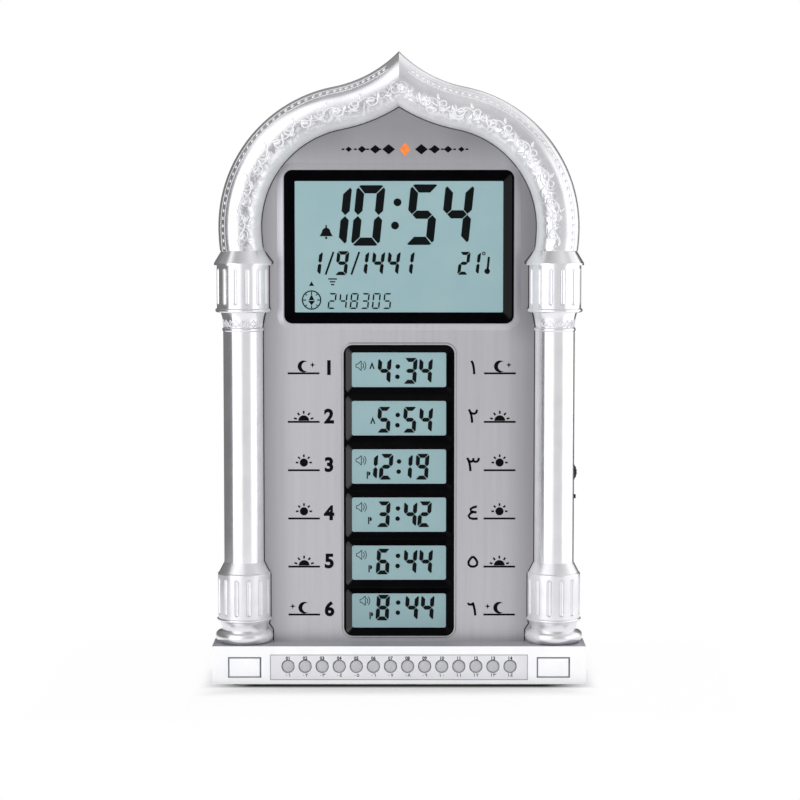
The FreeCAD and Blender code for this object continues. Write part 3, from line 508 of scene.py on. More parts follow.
@dataclass(frozen=True)
class BrushedCap(Finish):
    """Painted key cap with fine upright brushing."""

    brush: Triple = (2600.0, 300.0, 240.0)

    def tone(self, graph: Graph) -> bpy.types.NodeSocket:
        """Fine upright lines."""
        share = self.relief(graph).rise(0.3, 0.7)
        return graph.blend(share, linear(self.colour), linear(self.second))

    def relief(self, graph: Graph) -> Shade:
        """Height of the lines."""
        return graph.noise(1.0, 2.0, graph.stretched(self.brush))


@dataclass(frozen=True)
class TexturedCase(Finish):
    """Spark-eroded black plastic of the rear shell."""

    def relief(self, graph: Graph) -> Shade:
        """Small rounded pits of two sizes."""
        return graph.cells(1 / (self.grain * MM)) * 0.7 + graph.noise(2 / (self.grain * MM), 2.0) * 0.3


@dataclass(frozen=True)
class BoardGreen(Finish):
    """Solder mask over copper tracks."""

    track: float = 2.2
    gap: Colour = (70, 122, 66)

    def tone(self, graph: Graph) -> bpy.types.NodeSocket:
        """Lighter green between the copper fields under the mask."""
        bricks = graph.node("ShaderNodeTexBrick", {"offset": 0.5},
                            {"Vector": graph.position(), "Scale": 1 / (self.track * MM),
                             "Mortar Size": 0.12, "Mortar": linear(self.gap),
                             "Color1": linear(self.colour), "Color2": linear(self.second)})
        return bricks.outputs[0]


@dataclass(frozen=True)
class CellWrap(Finish):
    """Printed sleeve of a dry cell: a dark body and a coppery band at one end."""

    band_start: float = 12.0
    sleeve_end: float = 24.5
    steel: Colour = (176, 176, 180)

    def tone(self, graph: Graph) -> bpy.types.NodeSocket:
        """The band beyond its start, with steel ends.

        Args:
            graph: the material's nodes.

        Returns:
            The colour.
        """
        x = graph.axis("X") / MM
        band = x.rise(self.band_start - 0.2, self.band_start + 0.2)
        body = graph.blend(band, linear(self.colour), linear(self.second))
        return graph.blend(x.absolute().above(self.sleeve_end), body, linear(self.steel))


@dataclass(frozen=True)
class DisplayFace(Finish):
    """Reflective liquid crystal glass, a little mottled."""

    def relief(self, graph: Graph) -> Shade:
        """Long, very shallow waves."""
        return graph.noise(1 / (30 * MM), 1.0)


# Mesh tools


def deselect() -> None:
    """Leave edit mode and select nothing."""
    if bpy.context.object and bpy.context.object.mode != "OBJECT":
        bpy.ops.object.mode_set(mode="OBJECT")
    bpy.ops.object.select_all(action="DESELECT")


def select_only(pieces: Iterable[bpy.types.Object]) -> None:
    """Select these objects and make the first one active.

    Args:
        pieces: what to select, at least one object.
    """
    deselect()
    chosen = list(pieces)
    for piece in chosen:
        piece.select_set(True)
    bpy.context.view_layer.objects.active = chosen[0]


def join(pieces: Sequence[bpy.types.Object], name: str) -> bpy.types.Object:
    """Join objects into one.

    Args:
        pieces: mesh objects whose place is in their meshes.
        name: the name of the joined piece.

    Returns:
        The joined object.
    """
    select_only(pieces)
    if len(pieces) > 1:
        bpy.ops.object.join()
    made = bpy.context.object
    made.name = name
    made.data.name = name
    return made


def settle(piece: bpy.types.Object) -> bpy.types.Object:
    """Move an object's place and turn into its mesh.

    Args:
        piece: the object.

    Returns:
        The same object, at the origin.
    """
    bpy.context.view_layer.update()
    piece.data.transform(piece.matrix_world)
    piece.matrix_world = Matrix.Identity(4)
    return piece


def outward(piece: bpy.types.Object) -> None:
    """Merge doubles and point every face outwards.

    Args:
        piece: a closed mesh object.
    """
    select_only([piece])
    bpy.ops.object.mode_set(mode="EDIT")
    bpy.ops.mesh.select_all(action="SELECT")
    bpy.ops.mesh.remove_doubles(threshold=1e-7)
    bpy.ops.mesh.normals_make_consistent(inside=False)
    bpy.ops.object.mode_set(mode="OBJECT")


def flat_tile(outline: Sequence[Point], front: float, thickness: float) -> bpy.types.Object:
    """A thin upright tile with the given outline.

    Args:
        outline: (x, z) corners in order.
        front: depth of its front face.
        thickness: how far it goes back.

    Returns:
        The tile.
    """
    deselect()
    bpy.ops.mesh.primitive_circle_add(vertices=len(outline), radius=0.001, fill_type="NGON")
    tile = bpy.context.object
    for vertex, (x, z) in zip(tile.data.vertices, outline):
        vertex.co = Vector((x, front, z)) * MM
    bpy.ops.object.mode_set(mode="EDIT")
    bpy.ops.mesh.select_all(action="SELECT")
    bpy.ops.mesh.extrude_region_move(TRANSFORM_OT_translate={"value": (0, thickness * MM, 0)})
    bpy.ops.mesh.select_all(action="SELECT")
    bpy.ops.mesh.normals_make_consistent(inside=False)
    bpy.ops.object.mode_set(mode="OBJECT")
    return settle(tile)


def tiles(name: str, outlines: Sequence[Sequence[Point]], front: float,
          thickness: float = 0.08) -> bpy.types.Object:
    """Several tiles at one depth as one piece, their backs let into what carries them.

    Args:
        name: the piece's name.
        outlines: the outline of each tile.
        front: depth of the face that they lie on.
        thickness: how thick they are.

    Returns:
        The tiles as one mesh.
    """
    sunk = thickness / 4
    made = [flat_tile(outline, front - thickness + sunk, thickness) for outline in outlines]
    return join(made, name)


def polar(centre: Point, radius: float, degrees: float) -> Point:
    """The point at a distance from a centre, at an angle from +X towards +Z."""
    a = math.radians(degrees)
    return (centre[0] + radius * math.cos(a), centre[1] + radius * math.sin(a))


def disc(centre: Point, radius: float, corners: int = 28) -> list[Point]:
    """Outline of a disc."""
    return arc(centre, radius, 0.0, 360.0 - 360.0 / corners, corners)


def arc(centre: Point, radius: float, start: float, stop: float, steps: int) -> list[Point]:
    """Points along an arc, angles in degrees."""
    return [polar(centre, radius, start + (stop - start) * k / (steps - 1)) for k in range(steps)]


def spiral(radius: float, closing: float, start: float, turns: float,
           count: int) -> list[tuple[float, float, float]]:
    """A flat spiral round the origin.

    Args:
        radius: where it begins.
        closing: share of the radius that it loses on its way.
        start: angle in degrees at which it begins.
        turns: how many turns it makes, negative for clockwise.
        count: how many points it has.

    Returns:
        Its points as (share of the way, x, z).
    """
    points = []
    for k in range(count):
        share = k / (count - 1)
        x, z = polar((0.0, 0.0), radius * (1 - closing * share), start + 360 * turns * share)
        points.append((share, x, z))
    return points


def bar(start: Point, end: Point, width: float) -> list[Point]:
    """Outline of a straight bar.

    Args:
        start: middle of one end.
        end: middle of the other end.
        width: how wide it is.

    Returns:
        Its four corners.
    """
    along = Vector((end[0] - start[0], end[1] - start[1])).normalized()
    across = Vector((-along.y, along.x)) * (width / 2)
    return [(start[0] + across.x, start[1] + across.y), (start[0] - across.x, start[1] - across.y),
            (end[0] - across.x, end[1] - across.y), (end[0] + across.x, end[1] + across.y)]


def ray(centre: Point, degrees: float, near: float, far: float, width: float) -> list[Point]:
    """Outline of a bar that points away from a centre."""
    return bar(polar(centre, near, degrees), polar(centre, far, degrees), width)


def lozenge(centre: Point, half_width: float, half_height: float) -> list[Point]:
    """Outline of a lozenge."""
    x, z = centre
    return [(x, z + half_height), (x - half_width, z), (x, z - half_height), (x + half_width, z)]


def band(centre: Point, radius: float, width: float, start: float, stop: float,
         steps: int = 17) -> list[Point]:
    """Outline of a curved band between two angles.

    Args:
        centre: middle of the arcs.
        radius: radius of the band's middle line.
        width: how wide it is.
        start: first angle in degrees.
        stop: last angle in degrees.
        steps: points on each edge.

    Returns:
        The outer edge, then the inner edge back.
    """
    outer = arc(centre, radius + width / 2, start, stop, steps)
    inner = arc(centre, radius - width / 2, stop, start, steps)
    return outer + inner


def ring(centre: Point, radius: float, width: float) -> list[list[Point]]:
    """Outlines of two half rings."""
    return [band(centre, radius, width, 0, 180), band(centre, radius, width, 180, 360)]


def ribbon(points: Sequence[Point], width: float) -> list[Point]:
    """Outline of a brush stroke of even width along a bent line.

    Args:
        points: the middle line.
        width: how wide it is.

    Returns:
        The left edge, then the right edge back.
    """
    left = []
    right = []
    last = len(points) - 1
    for i, point in enumerate(points):
        before = Vector(points[max(i - 1, 0)])
        after = Vector(points[min(i + 1, last)])
        along = (after - before).normalized()
        across = Vector((-along.y, along.x)) * (width / 2)
        left.append((point[0] + across.x, point[1] + across.y))
        right.append((point[0] - across.x, point[1] - across.y))
    return left + right[::-1]


def frame_bars(centre: Point, width: float, height: float,
               lines: Sequence[float]) -> list[list[Point]]:
    """Four bars round a rectangle.

    Args:
        centre: the rectangle's middle.
        width: its width.
        height: its height.
        lines: how thick the left, top, right and bottom bars are.

    Returns:
        The four outlines.
    """
    x, z = centre
    w = width / 2
    h = height / 2
    left, top, right, bottom = lines
    return [bar((x - w + left / 2, z - h), (x - w + left / 2, z + h), left),
            bar((x + w - right / 2, z - h), (x + w - right / 2, z + h), right),
            bar((x - w + left, z + h - top / 2), (x + w - right, z + h - top / 2), top),
            bar((x - w + left, z - h + bottom / 2), (x + w - right, z - h + bottom / 2), bottom)]


def numeral(text: str, x: float, z: float, height: float, front: float,
            weight: float) -> bpy.types.Object:
    """One printed numeral or group of numerals.

    Args:
        text: what is printed.
        x: its middle.
        z: height of its foot.
        height: height of a figure.
        front: depth of the face that it is printed on.
        weight: how much the strokes are thickened.

    Returns:
        The print as a mesh.
    """
    figure_share = 0.69
    deselect()
    bpy.ops.object.text_add()
    piece = bpy.context.object
    curve = piece.data
    curve.body = text
    curve.size = height * MM / figure_share
    curve.offset = weight * MM
    curve.extrude = 0.00003
    curve.resolution_u = 3
    curve.align_x = "CENTER"
    bpy.ops.object.convert(target="MESH")
    piece = bpy.context.object
    upright = Matrix.Rotation(math.pi / 2, 4, "X")
    piece.data.transform(Matrix.Translation(Vector((x, front, z)) * MM) @ upright)
    outward(piece)
    return piece


def copies(name: str, seed: bpy.types.Object, places: Sequence[Matrix]) -> bpy.types.Object:
    """Copies of one small shape as one piece.

    Args:
        name: the piece's name.
        seed: the shape at the origin; it is removed.
        places: where each copy goes.

    Returns:
        The joined copies.
    """
    made = []
    for place in places:
        twin = seed.copy()
        twin.data = seed.data.copy()
        twin.data.transform(place)
        bpy.context.scene.collection.objects.link(twin)
        made.append(twin)
    bpy.data.objects.remove(seed)
    return join(made, name)


def raised_lines(name: str, paths: Sequence[Sequence[Vector]], radius: float,
                 taper: Callable[[float], float] = lambda share: 1.0) -> bpy.types.Object:
    """Raised round lines along smooth paths.

    Args:
        name: the piece's name.
        paths: points of each line, in millimetres.
        radius: half the thickness of a line.
        taper: thickness at a share of a line's length.

    Returns:
        The lines as one mesh.
    """
    curve = bpy.data.curves.new(name, "CURVE")
    curve.dimensions = "3D"
    curve.bevel_depth = radius * MM
    curve.bevel_resolution = 1
    curve.use_fill_caps = True
    curve.resolution_u = 3
    for path in paths:
        spline = curve.splines.new("NURBS")
        spline.points.add(len(path) - 1)
        for i, (point, at) in enumerate(zip(spline.points, path)):
            point.co = (*(at * MM), 1.0)
            point.radius = taper(i / (len(path) - 1))
        spline.order_u = 3
        spline.use_endpoint_u = True
    piece = bpy.data.objects.new(name, curve)
    bpy.context.scene.collection.objects.link(piece)
    select_only([piece])
    bpy.ops.object.convert(target="MESH")
    piece = bpy.context.object
    piece.name = name
    outward(piece)
    bpy.ops.object.shade_smooth()
    return piece


def dressed(piece: bpy.types.Object, finish: bpy.types.Material,
            body: str = "clock") -> bpy.types.Object:
    """Give a new piece its finish, slot and body, and report it.

    Args:
        piece: the new piece.
        finish: its material.
        body: the body that it moves with.

    Returns:
        The same piece.
    """
    piece.data.materials.clear()
    piece.data.materials.append(finish)
    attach(piece, body)
    LOG.info("%s: %d faces on %s", piece.name, len(piece.data.polygons), body)
    return piece


# Finishes of the clock


class Wardrobe:
    """All finishes, made once, and which CAD node wears which."""

    WORN = {
        "front_casing": "silver_panel_paint", "plinth": "plinth_paint",
        "key_label_plate": "label_film", "main_display_bezel": "bezel_black",
        "times_display_bezel": "times_bezel_black", "main_lcd": "display_glass",
        "times_lcd": "display_glass", "rear_cover": "case_black",
        "battery_door": "case_black", "volume_wheel": "control_black",
        "volume_pot": "control_black", "switch_body": "control_black",
        "switch_knob": "control_black", "feet": "foot_rubber", "board_parts": "chip_black",
        "key_switches": "chip_black", "speaker_cone": "cone_paper",
        "speaker_magnet": "magnet_dark", "batteries": "cell_sleeve",
    }
    ENDINGS = (("_strips", "foot_rubber"), ("_holder", "holder_white"), ("board", "board_green"),
               ("_frame", "plated_arch"), ("_base", "plated_relief"),
               ("_shaft", "plated_silver"), ("_capital", "plated_silver"))

    def __init__(self) -> None:
        """Make every material."""
        finishes = [
            PlatedSilver("plated_silver", (242, 242, 245), (235, 235, 239), 0.2, metallic=1.0,
                         grain=1.1, grain_depth=0.05, rough_spread=0.06),
            EmbossedSilver("plated_arch", (242, 242, 245), (232, 232, 236), 0.27, metallic=1.0,
                           grain_depth=0.13, rough_spread=0.08),
            PlatedSilver("plated_relief", (238, 238, 241), (228, 228, 232), 0.3, metallic=1.0,
                         grain=0.6, grain_depth=0.03),
            PaintedPanel("silver_panel_paint", (181, 180, 185), (192, 191, 196), 0.34,
                         metallic=0.85, grain_depth=0.006),
            PlinthPaint("plinth_paint", (250, 250, 252), (246, 246, 249), 0.42, coat=0.05,
                        grain=0.5, grain_depth=0.003),
            Finish("seam_shadow", (52, 52, 57), (66, 66, 71), 0.6, specular=0.1, cloud=6.0,
                   grain=0.4, grain_depth=0.002),
            Finish("label_film", (230, 230, 233), (224, 224, 228), 0.45, metallic=0.15,
                   grain=0.3, grain_depth=0.002),
            BrushedCap("key_cap", (198, 198, 200), (186, 186, 189), 0.42, metallic=0.3,
                       grain_depth=0.006),
            GlossyFrame("bezel_black", (1, 1, 3), (4, 4, 6), 0.24, specular=0.015, grain=0.6,
                        grain_depth=0.002, rough_spread=0.06),
            GlossyFrame("times_bezel_black", (1, 1, 3), (4, 4, 6), 0.2, specular=0.04,
                        grain=0.6, grain_depth=0.002, rough_spread=0.06, lit_side=1.0,
                        polish=1.0),
            DisplayFace("display_glass", (140, 169, 174), (145, 172, 176), 0.5, specular=0.1,
                        cloud=18.0, grain_depth=0.01),
            Finish("display_ink", (3, 7, 9), (7, 12, 14), 0.5, specular=0.08, cloud=3.0,
                   grain=0.4, grain_depth=0.001),
            Finish("print_black", (5, 4, 6), (11, 10, 12), 0.55, specular=0.05, cloud=2.0,
                   grain=0.25, grain_depth=0.002),
            Finish("seam_grey", (92, 92, 96), (108, 108, 112), 0.5, specular=0.2, cloud=4.0,
                   grain=0.3, grain_depth=0.002),
            Finish("seam_light", (168, 168, 172), (158, 158, 162), 0.5, specular=0.2, cloud=6.0,
                   grain=0.3, grain_depth=0.002),
            Finish("print_orange", (236, 112, 28), (246, 136, 52), 0.45, cloud=2.0, grain=0.25,
                   grain_depth=0.002),
            TexturedCase("case_black", (27, 27, 29), (33, 33, 35), 0.55, grain=0.7,
                         grain_depth=0.03),
            TexturedCase("control_black", (20, 20, 22), (26, 26, 28), 0.45, grain=0.5,
                         grain_depth=0.015),
            Finish("foot_rubber", (24, 24, 25), (33, 33, 34), 0.8, grain=0.5, grain_depth=0.02),
            BoardGreen("board_green", (24, 84, 48), (30, 98, 56), 0.35, coat=0.3,
                       grain_depth=0.01),
            Finish("chip_black", (28, 28, 30), (36, 36, 38), 0.6, grain=0.3, grain_depth=0.01),
            Finish("holder_white", (226, 226, 222), (218, 218, 213), 0.45, grain_depth=0.008),
            Finish("steel", (176, 176, 180), (156, 156, 161), 0.3, metallic=1.0, cloud=4.0,
                   grain=0.3, grain_depth=0.006, rough_spread=0.16),
            Finish("magnet_dark", (64, 64, 68), (80, 80, 84), 0.5, metallic=0.4, cloud=5.0,
                   grain=0.4, grain_depth=0.02),
            Finish("cone_paper", (36, 35, 34), (50, 48, 46), 0.9, cloud=2.0, grain=0.35,
                   grain_depth=0.05),
            CellWrap("cell_sleeve", (30, 30, 34), (186, 120, 62), 0.3, coat=0.3, grain=2.0,
                     grain_depth=0.005),
        ]
        self.materials = {finish.name: finish.make() for finish in finishes}

    def __getitem__(self, name: str) -> bpy.types.Material:
        """A material by its finish's name."""
        return self.materials[name]

    @staticmethod
    def finish_of(node: str) -> str:
        """Name of the finish that a CAD node wears.

        Args:
            node: the node's name.

        Returns:
            The finish's name.
        """
        if node in Wardrobe.WORN:
            return Wardrobe.WORN[node]
        if node.startswith("key_") and node[4:].isdigit():
            return "key_cap"
        for ending, finish in Wardrobe.ENDINGS:
            if node.endswith(ending):
                return finish
        return "steel"

    def dress_nodes(self, nodes: dict[str, bpy.types.Object]) -> None:
        """Put a finish on every CAD node.

        Args:
            nodes: the CAD nodes by name.
        """
        for name, node in nodes.items():
            finish = self.materials[self.finish_of(name)]
            if not node.material_slots:
                node.data.materials.append(finish)
            for slot in node.material_slots:
                slot.material = finish
            LOG.info("%s wears %s", name, finish.name)


# The arch's embossing


@dataclass(frozen=True)
class ArchLine:
    """The centre line of the arch moulding and the skin of its half-round tube."""

    tube: float = 12.85
    spring_x: float = 94.6
    spring_z: float = 261.3
    lean: float = 8.3
    lower_radius: float = 102.6
    lower_turn: float = 7.2
    upper_radius: float = 72.4
    upper_turn: float = 80.2
    crown_radius: float = 88.0

    def arcs(self) -> list[tuple[Point, float, float, float, int]]:
        """The three arcs as (centre, radius, start angle, turn, side).

        Returns:
            The arcs from the springing to the crown.
        """
        first = polar((self.spring_x, self.spring_z), -self.lower_radius, -self.lean)
        bend = self.lower_turn - self.lean
        joint = polar(first, self.lower_radius, bend)
        second = polar(joint, -self.upper_radius, bend)
        end = bend + self.upper_turn
        flex = polar(second, self.upper_radius, end)
        third = polar(flex, self.crown_radius, end)
        crown = 180 + math.degrees(math.acos(third[0] / self.crown_radius))
        return [(first, self.lower_radius, -self.lean, self.lower_turn, 1),
                (second, self.upper_radius, bend, self.upper_turn, 1),
                (third, self.crown_radius, end + 180, crown - end - 180, -1)]

    def length(self) -> float:
        """Length of one half's centre line."""
        return sum(radius * math.radians(abs(turn)) for _, radius, _, turn, _ in self.arcs())

    def frame(self, along: float, around: float, side: Side, lift: float = 0.0) -> Matrix:
        """A place on the tube's skin.

        Args:
            along: distance from the springing along the centre line.
            around: angle on the tube, 0 at the front and 90 at the outside.
            side: which half of the arch.
            lift: height above the skin.

        Returns:
            A matrix whose X runs along the arch, Y across it outwards and Z off the skin.
        """
        left = along
        arcs = self.arcs()
        for i, (centre, radius, start, turn, sense) in enumerate(arcs):
            run = radius * math.radians(abs(turn))
            if left <= run or i == len(arcs) - 1:
                angle = start + math.copysign(math.degrees(left / radius), turn)
                break
            left -= run
        middle = polar(centre, radius, angle)
        a = math.radians(angle)
        out = Vector((math.cos(a), 0, math.sin(a))) * sense
        ahead = Vector((-math.sin(a), 0, math.cos(a))) * math.copysign(1, turn)
        tilt = math.radians(around)
        normal = out * math.sin(tilt) + Vector((0, -math.cos(tilt), 0))
        across = out * math.cos(tilt) + Vector((0, math.sin(tilt), 0))
        place = Vector((middle[0], Plane.PANEL.value, middle[1])) + normal * (self.tube + lift)
        flip = Vector((side.value, 1, 1))
        columns = [v * flip for v in (ahead, across, normal)]
        matrix = Matrix.Identity(4)
        for column, vector in enumerate(columns):
            for row in range(3):
                matrix[row][column] = vector[row]
        for row, value in enumerate(place * flip * MM):
            matrix[row][3] = value
        return matrix

    def skin(self, along: float, around: float, side: Side, lift: float = 0.0) -> Vector:
        """A point on the tube's skin, in millimetres."""
        return self.frame(along, around, side, lift).translation / MM


@dataclass
class ArchRelief:
    """Beads, rope lines and scrolling vine embossed on the arch moulding."""

    line: ArchLine
    margin: float = 3.0
    bead: Triple = (1.25, 0.95, 0.55)
    bead_pitch: float = 4.0
    bead_slant: float = 28.0
    bead_around_left: float = 50.0
    bead_around_right: float = 40.0
    line_around: float = 8.5
    line_radius: float = 0.24
    line_steps: int = 60
    vine_around: float = -8.0
    vine_swing: float = 10.0
    vine_pitch: float = 21.0
    vine_steps: int = 110
    scroll_start: float = 8.0
    scroll_swing: float = 4.2
    scroll_radius: float = 3.7
    scroll_closing: float = 0.82
    scroll_turns: float = 1.35
    stroke: float = 0.75
    sunk: float = 0.4
    leaf: Triple = (2.1, 0.85, 0.45)
    leaf_start: float = 6.0
    leaf_around: float = 9.0
    leaf_turn: float = 35.0
    leaf_lean: float = 20.0
    leaf_lift: float = -0.08
    crown_z: float = 357.2
    crown_gap: float = 3.6
    crown_radius: float = 3.3
    crown_closing: float = 0.8
    crown_turns: float = 1.2
    crown_stroke: float = 0.6

    def build(self, wardrobe: Wardrobe) -> None:
        """Make the relief of both halves and the crown's scroll.

        Args:
            wardrobe: the finishes.
        """
        relief = wardrobe["plated_relief"]
        for side in Side:
            for make in (self.beads, self.rope_lines, self.vine, self.leaves):
                dressed(make(side), relief)
        dressed(self.crown_scroll(), relief)

    def bead_angle(self, side: Side) -> float:
        """The bead row's place on the tube, which sits a little further in on the right."""
        return self.bead_around_left if side is Side.LEFT else self.bead_around_right

    @staticmethod
    def pebble(half_size: Triple, segments: int) -> bpy.types.Object:
        """A smooth ellipsoid at the origin.

        Args:
            half_size: half its length, width and height.
            segments: how many faces go round it.

        Returns:
            The ellipsoid.
        """
        deselect()
        bpy.ops.mesh.primitive_uv_sphere_add(segments=segments, ring_count=6, radius=1.0)
        bpy.ops.object.shade_smooth()
        seed = bpy.context.object
        seed.scale = Vector(half_size) * MM
        return settle(seed)

    def beads(self, side: Side) -> bpy.types.Object:
        """A row of slanted beads near the outer edge.

        Args:
            side: which half of the clock.

        Returns:
            The row as one mesh.
        """
        seed = self.pebble(self.bead, 10)
        seed.data.transform(Matrix.Rotation(math.radians(self.bead_slant), 4, "Z"))
        count = int((self.line.length() - 2 * self.margin) / self.bead_pitch)
        places = [self.line.frame(self.margin + k * self.bead_pitch, self.bead_angle(side), side)
                  for k in range(count + 1)]
        row = copies("arch_beads_" + side.word, seed, places)
        outward(row)
        return row

    def rope_lines(self, side: Side) -> bpy.types.Object:
        """Thin lines on both sides of the bead row.

        Args:
            side: which half of the clock.

        Returns:
            The lines as one mesh.
        """
        start = 1.0
        run = self.line.length() - 2.5
        paths = []
        for shift in (-self.line_around, self.line_around):
            around = self.bead_angle(side) + shift
            paths.append([self.line.skin(start + run * k / self.line_steps, around, side)
                          for k in range(self.line_steps + 1)])
        return raised_lines("arch_rope_lines_" + side.word, paths, self.line_radius)

    def swing(self, along: float) -> float:
        """The stem's place on the tube at a distance along the arch."""
        return self.vine_around + self.vine_swing * math.sin(2 * math.pi * along / self.vine_pitch)

    def vine(self, side: Side) -> bpy.types.Object:
        """A wavy stem with a spiral in every bend.

        Args:
            side: which half of the clock.

        Returns:
            Stem and spirals as one mesh.
        """
        end = self.line.length() - self.margin
        places = [self.margin + (end - self.margin) * k / self.vine_steps
                  for k in range(self.vine_steps + 1)]
        paths = [[self.line.skin(place, self.swing(place), side, -self.sunk) for place in places]]
        per_degree = self.line.tube * math.pi / 180
        bend = self.vine_pitch / 2
        for k in range(int((end - self.scroll_start) / bend)):
            middle = self.scroll_start + (k + 0.1) * bend
            sense = 1 if k % 2 else -1
            centre = self.vine_around + sense * self.scroll_swing
            curl = spiral(self.scroll_radius, self.scroll_closing, 180.0 if sense > 0 else 0.0,
                          self.scroll_turns * sense, 22)
            paths.append([self.line.skin(middle + ahead, centre + across / per_degree, side,
                                         -self.sunk) for _, ahead, across in curl])
        return raised_lines("arch_vine_" + side.word, paths, self.stroke,
                            lambda share: 1.0 - 0.35 * share)

    def leaves(self, side: Side) -> bpy.types.Object:
        """Pointed leaves that grow from the stem.

        Args:
            side: which half of the clock.

        Returns:
            The leaves as one mesh.
        """
        seed = self.pebble(self.leaf, 8)
        for vertex in seed.data.vertices:
            vertex.co.y *= 1 - 0.35 * vertex.co.x / (self.leaf[0] * MM)
            vertex.co.y += 0.12 * vertex.co.x ** 2 / MM
        places = []
        step = self.vine_pitch / 4
        for k in range(int((self.line.length() - 2 * self.leaf_start) / step)):
            along = self.leaf_start + (k + 0.5) * step
            sense = 1 if k % 2 else -1
            around = self.swing(along) + sense * self.leaf_around
            spin = Matrix.Rotation(math.radians(self.leaf_turn * sense + self.leaf_lean), 4, "Z")
            places.append(self.line.frame(along, around, side, self.leaf_lift) @ spin)
        row = copies("arch_leaves_" + side.word, seed, places)
        outward(row)
        return row

    def crown_scroll(self) -> bpy.types.Object:
        """A round scroll on the mitre below the tip.

        Returns:
            Both curls as one mesh.
        """
        paths = []
        for sense in (1, -1):
            curl = spiral(self.crown_radius, self.crown_closing, 90.0, self.crown_turns * sense, 26)
            paths.append([self.on_crown(self.crown_gap * sense * (0.55 + 0.45 * share) + x,
                                        self.crown_z + z) for share, x, z in curl])
        return raised_lines("crown_scroll", paths, self.crown_stroke,
                            lambda share: 1.0 - 0.3 * share)

    def on_crown(self, x: float, z: float) -> Vector:
        """The point of the tube's skin at a front-view place near the crown.

        Args:
            x: place across, seen from the front.
            z: height.

        Returns:
            The point, in millimetres.
        """
        side = Side.RIGHT if x >= 0 else Side.LEFT
        centre, radius, _, _, _ = self.line.arcs()[2]
        reach = math.dist((abs(x), z), centre)
        out = max(-1.0, min(1.0, (radius - reach) / self.line.tube))
        y = Plane.PANEL.value - self.line.tube * math.sqrt(1 - out * out)
        return Vector((side.value * abs(x), y, z))


@dataclass
class TrimSeamShadows:
    """Painted shadow: dark lines along the joint where the plated trim stands on the panel, on its
    inner side.
    """

    line: ArchLine
    width: float = 0.8
    column_x: float = 94.0
    arch_steps: int = 60

    PROFILE = ((17.4, 24.2), (17.4, 31.5), (15.0, 35.0), (15.95, 39.3), (15.95, 65.5),
               (11.95, 73.2), (11.95, 212.9), (11.7, 215.5), (13.4, 224.3), (16.4, 226.0),
               (15.65, 227.5), (15.65, 252.5), (18.2, 254.2), (12.9, 261.0))

    def build(self, wardrobe: Wardrobe) -> None:
        """Make the line of each side, column and arch in one.

        Args:
            wardrobe: the finishes.
        """
        for side in Side:
            columns = [(side.value * (self.column_x - r - self.width / 4), z)
                       for r, z in self.PROFILE]
            shapes = [bar(a, b, self.width) for a, b in zip(columns, columns[1:])]
            shapes.append(ribbon(self.arch_edge(side), self.width))
            # Painted shadow along the trim's inner edge.
            piece = tiles("trim_seam_shadow_" + side.word, shapes, Plane.PANEL.value)
            dressed(piece, wardrobe["seam_shadow"])

    def arch_edge(self, side: Side) -> list[Point]:
        """Points just inside the arch's inner edge.

        Args:
            side: which half of the clock.

        Returns:
            The points from the springing to the crown.
        """
        points = []
        for k in range(self.arch_steps + 1):
            place = self.line.frame(self.line.length() * k / self.arch_steps, -90.0, side)
            edge = place.translation / MM + place.col[2].to_3d() * (self.width / 4)
            points.append((edge.x, edge.z))
        return points


@dataclass
class NeckLeaves:
    """Embossed leaves round the lower half of a capital's neck."""

    column_x: float = 94.0
    low_z: float = 215.5
    low_radius: float = 11.55
    top_radius: float = 12.4
    leaf_count: int = 9
    leaf_height: float = 4.6
    span: float = 160.0
    stroke: float = 0.42

    def build(self, wardrobe: Wardrobe) -> None:
        """Make the leaves of both capitals."""
        for side in Side:
            dressed(self.leaves(side), wardrobe["plated_relief"])

    def leaves(self, side: Side) -> bpy.types.Object:
        """Curled leaves side by side, with a bud between each pair.

        Args:
            side: which half of the clock.

        Returns:
            The leaves as one mesh.
        """
        paths = []
        half = self.span / self.leaf_count / 2
        for k in range(self.leaf_count):
            middle = -self.span / 2 + self.span * (k + 0.5) / self.leaf_count
            for sense in (-1, 1):
                path = []
                for j in range(9):
                    share = j / 8
                    bow = math.sin(math.pi * min(share * 1.15, 1.0)) * half * 0.82
                    path.append(self.on_neck(side, middle + sense * bow, share))
                paths.append(path)
            paths.append([self.on_neck(side, middle, 0.05 + 0.6 * j / 4) for j in range(5)])
            paths.append([self.on_neck(side, middle + half, 0.1 + 0.35 * j / 3) for j in range(4)])
        return raised_lines("neck_leaves_" + side.word, paths, self.stroke,
                            lambda share: 1.0 - 0.4 * share)

    def on_neck(self, side: Side, degrees: float, share: float) -> Vector:
        """A point on the neck at an angle from the front and a share of a leaf's height.

        Args:
            side: which half of the clock.
            degrees: angle from the front.
            share: share of a leaf's height.

        Returns:
            The point, in millimetres.
        """
        radius = self.low_radius + (self.top_radius - self.low_radius) * share
        a = math.radians(degrees)
        return Vector((side.value * self.column_x + radius * math.sin(a),
                       Plane.PANEL.value - radius * math.cos(a),
                       self.low_z + self.leaf_height * share))


# Figures


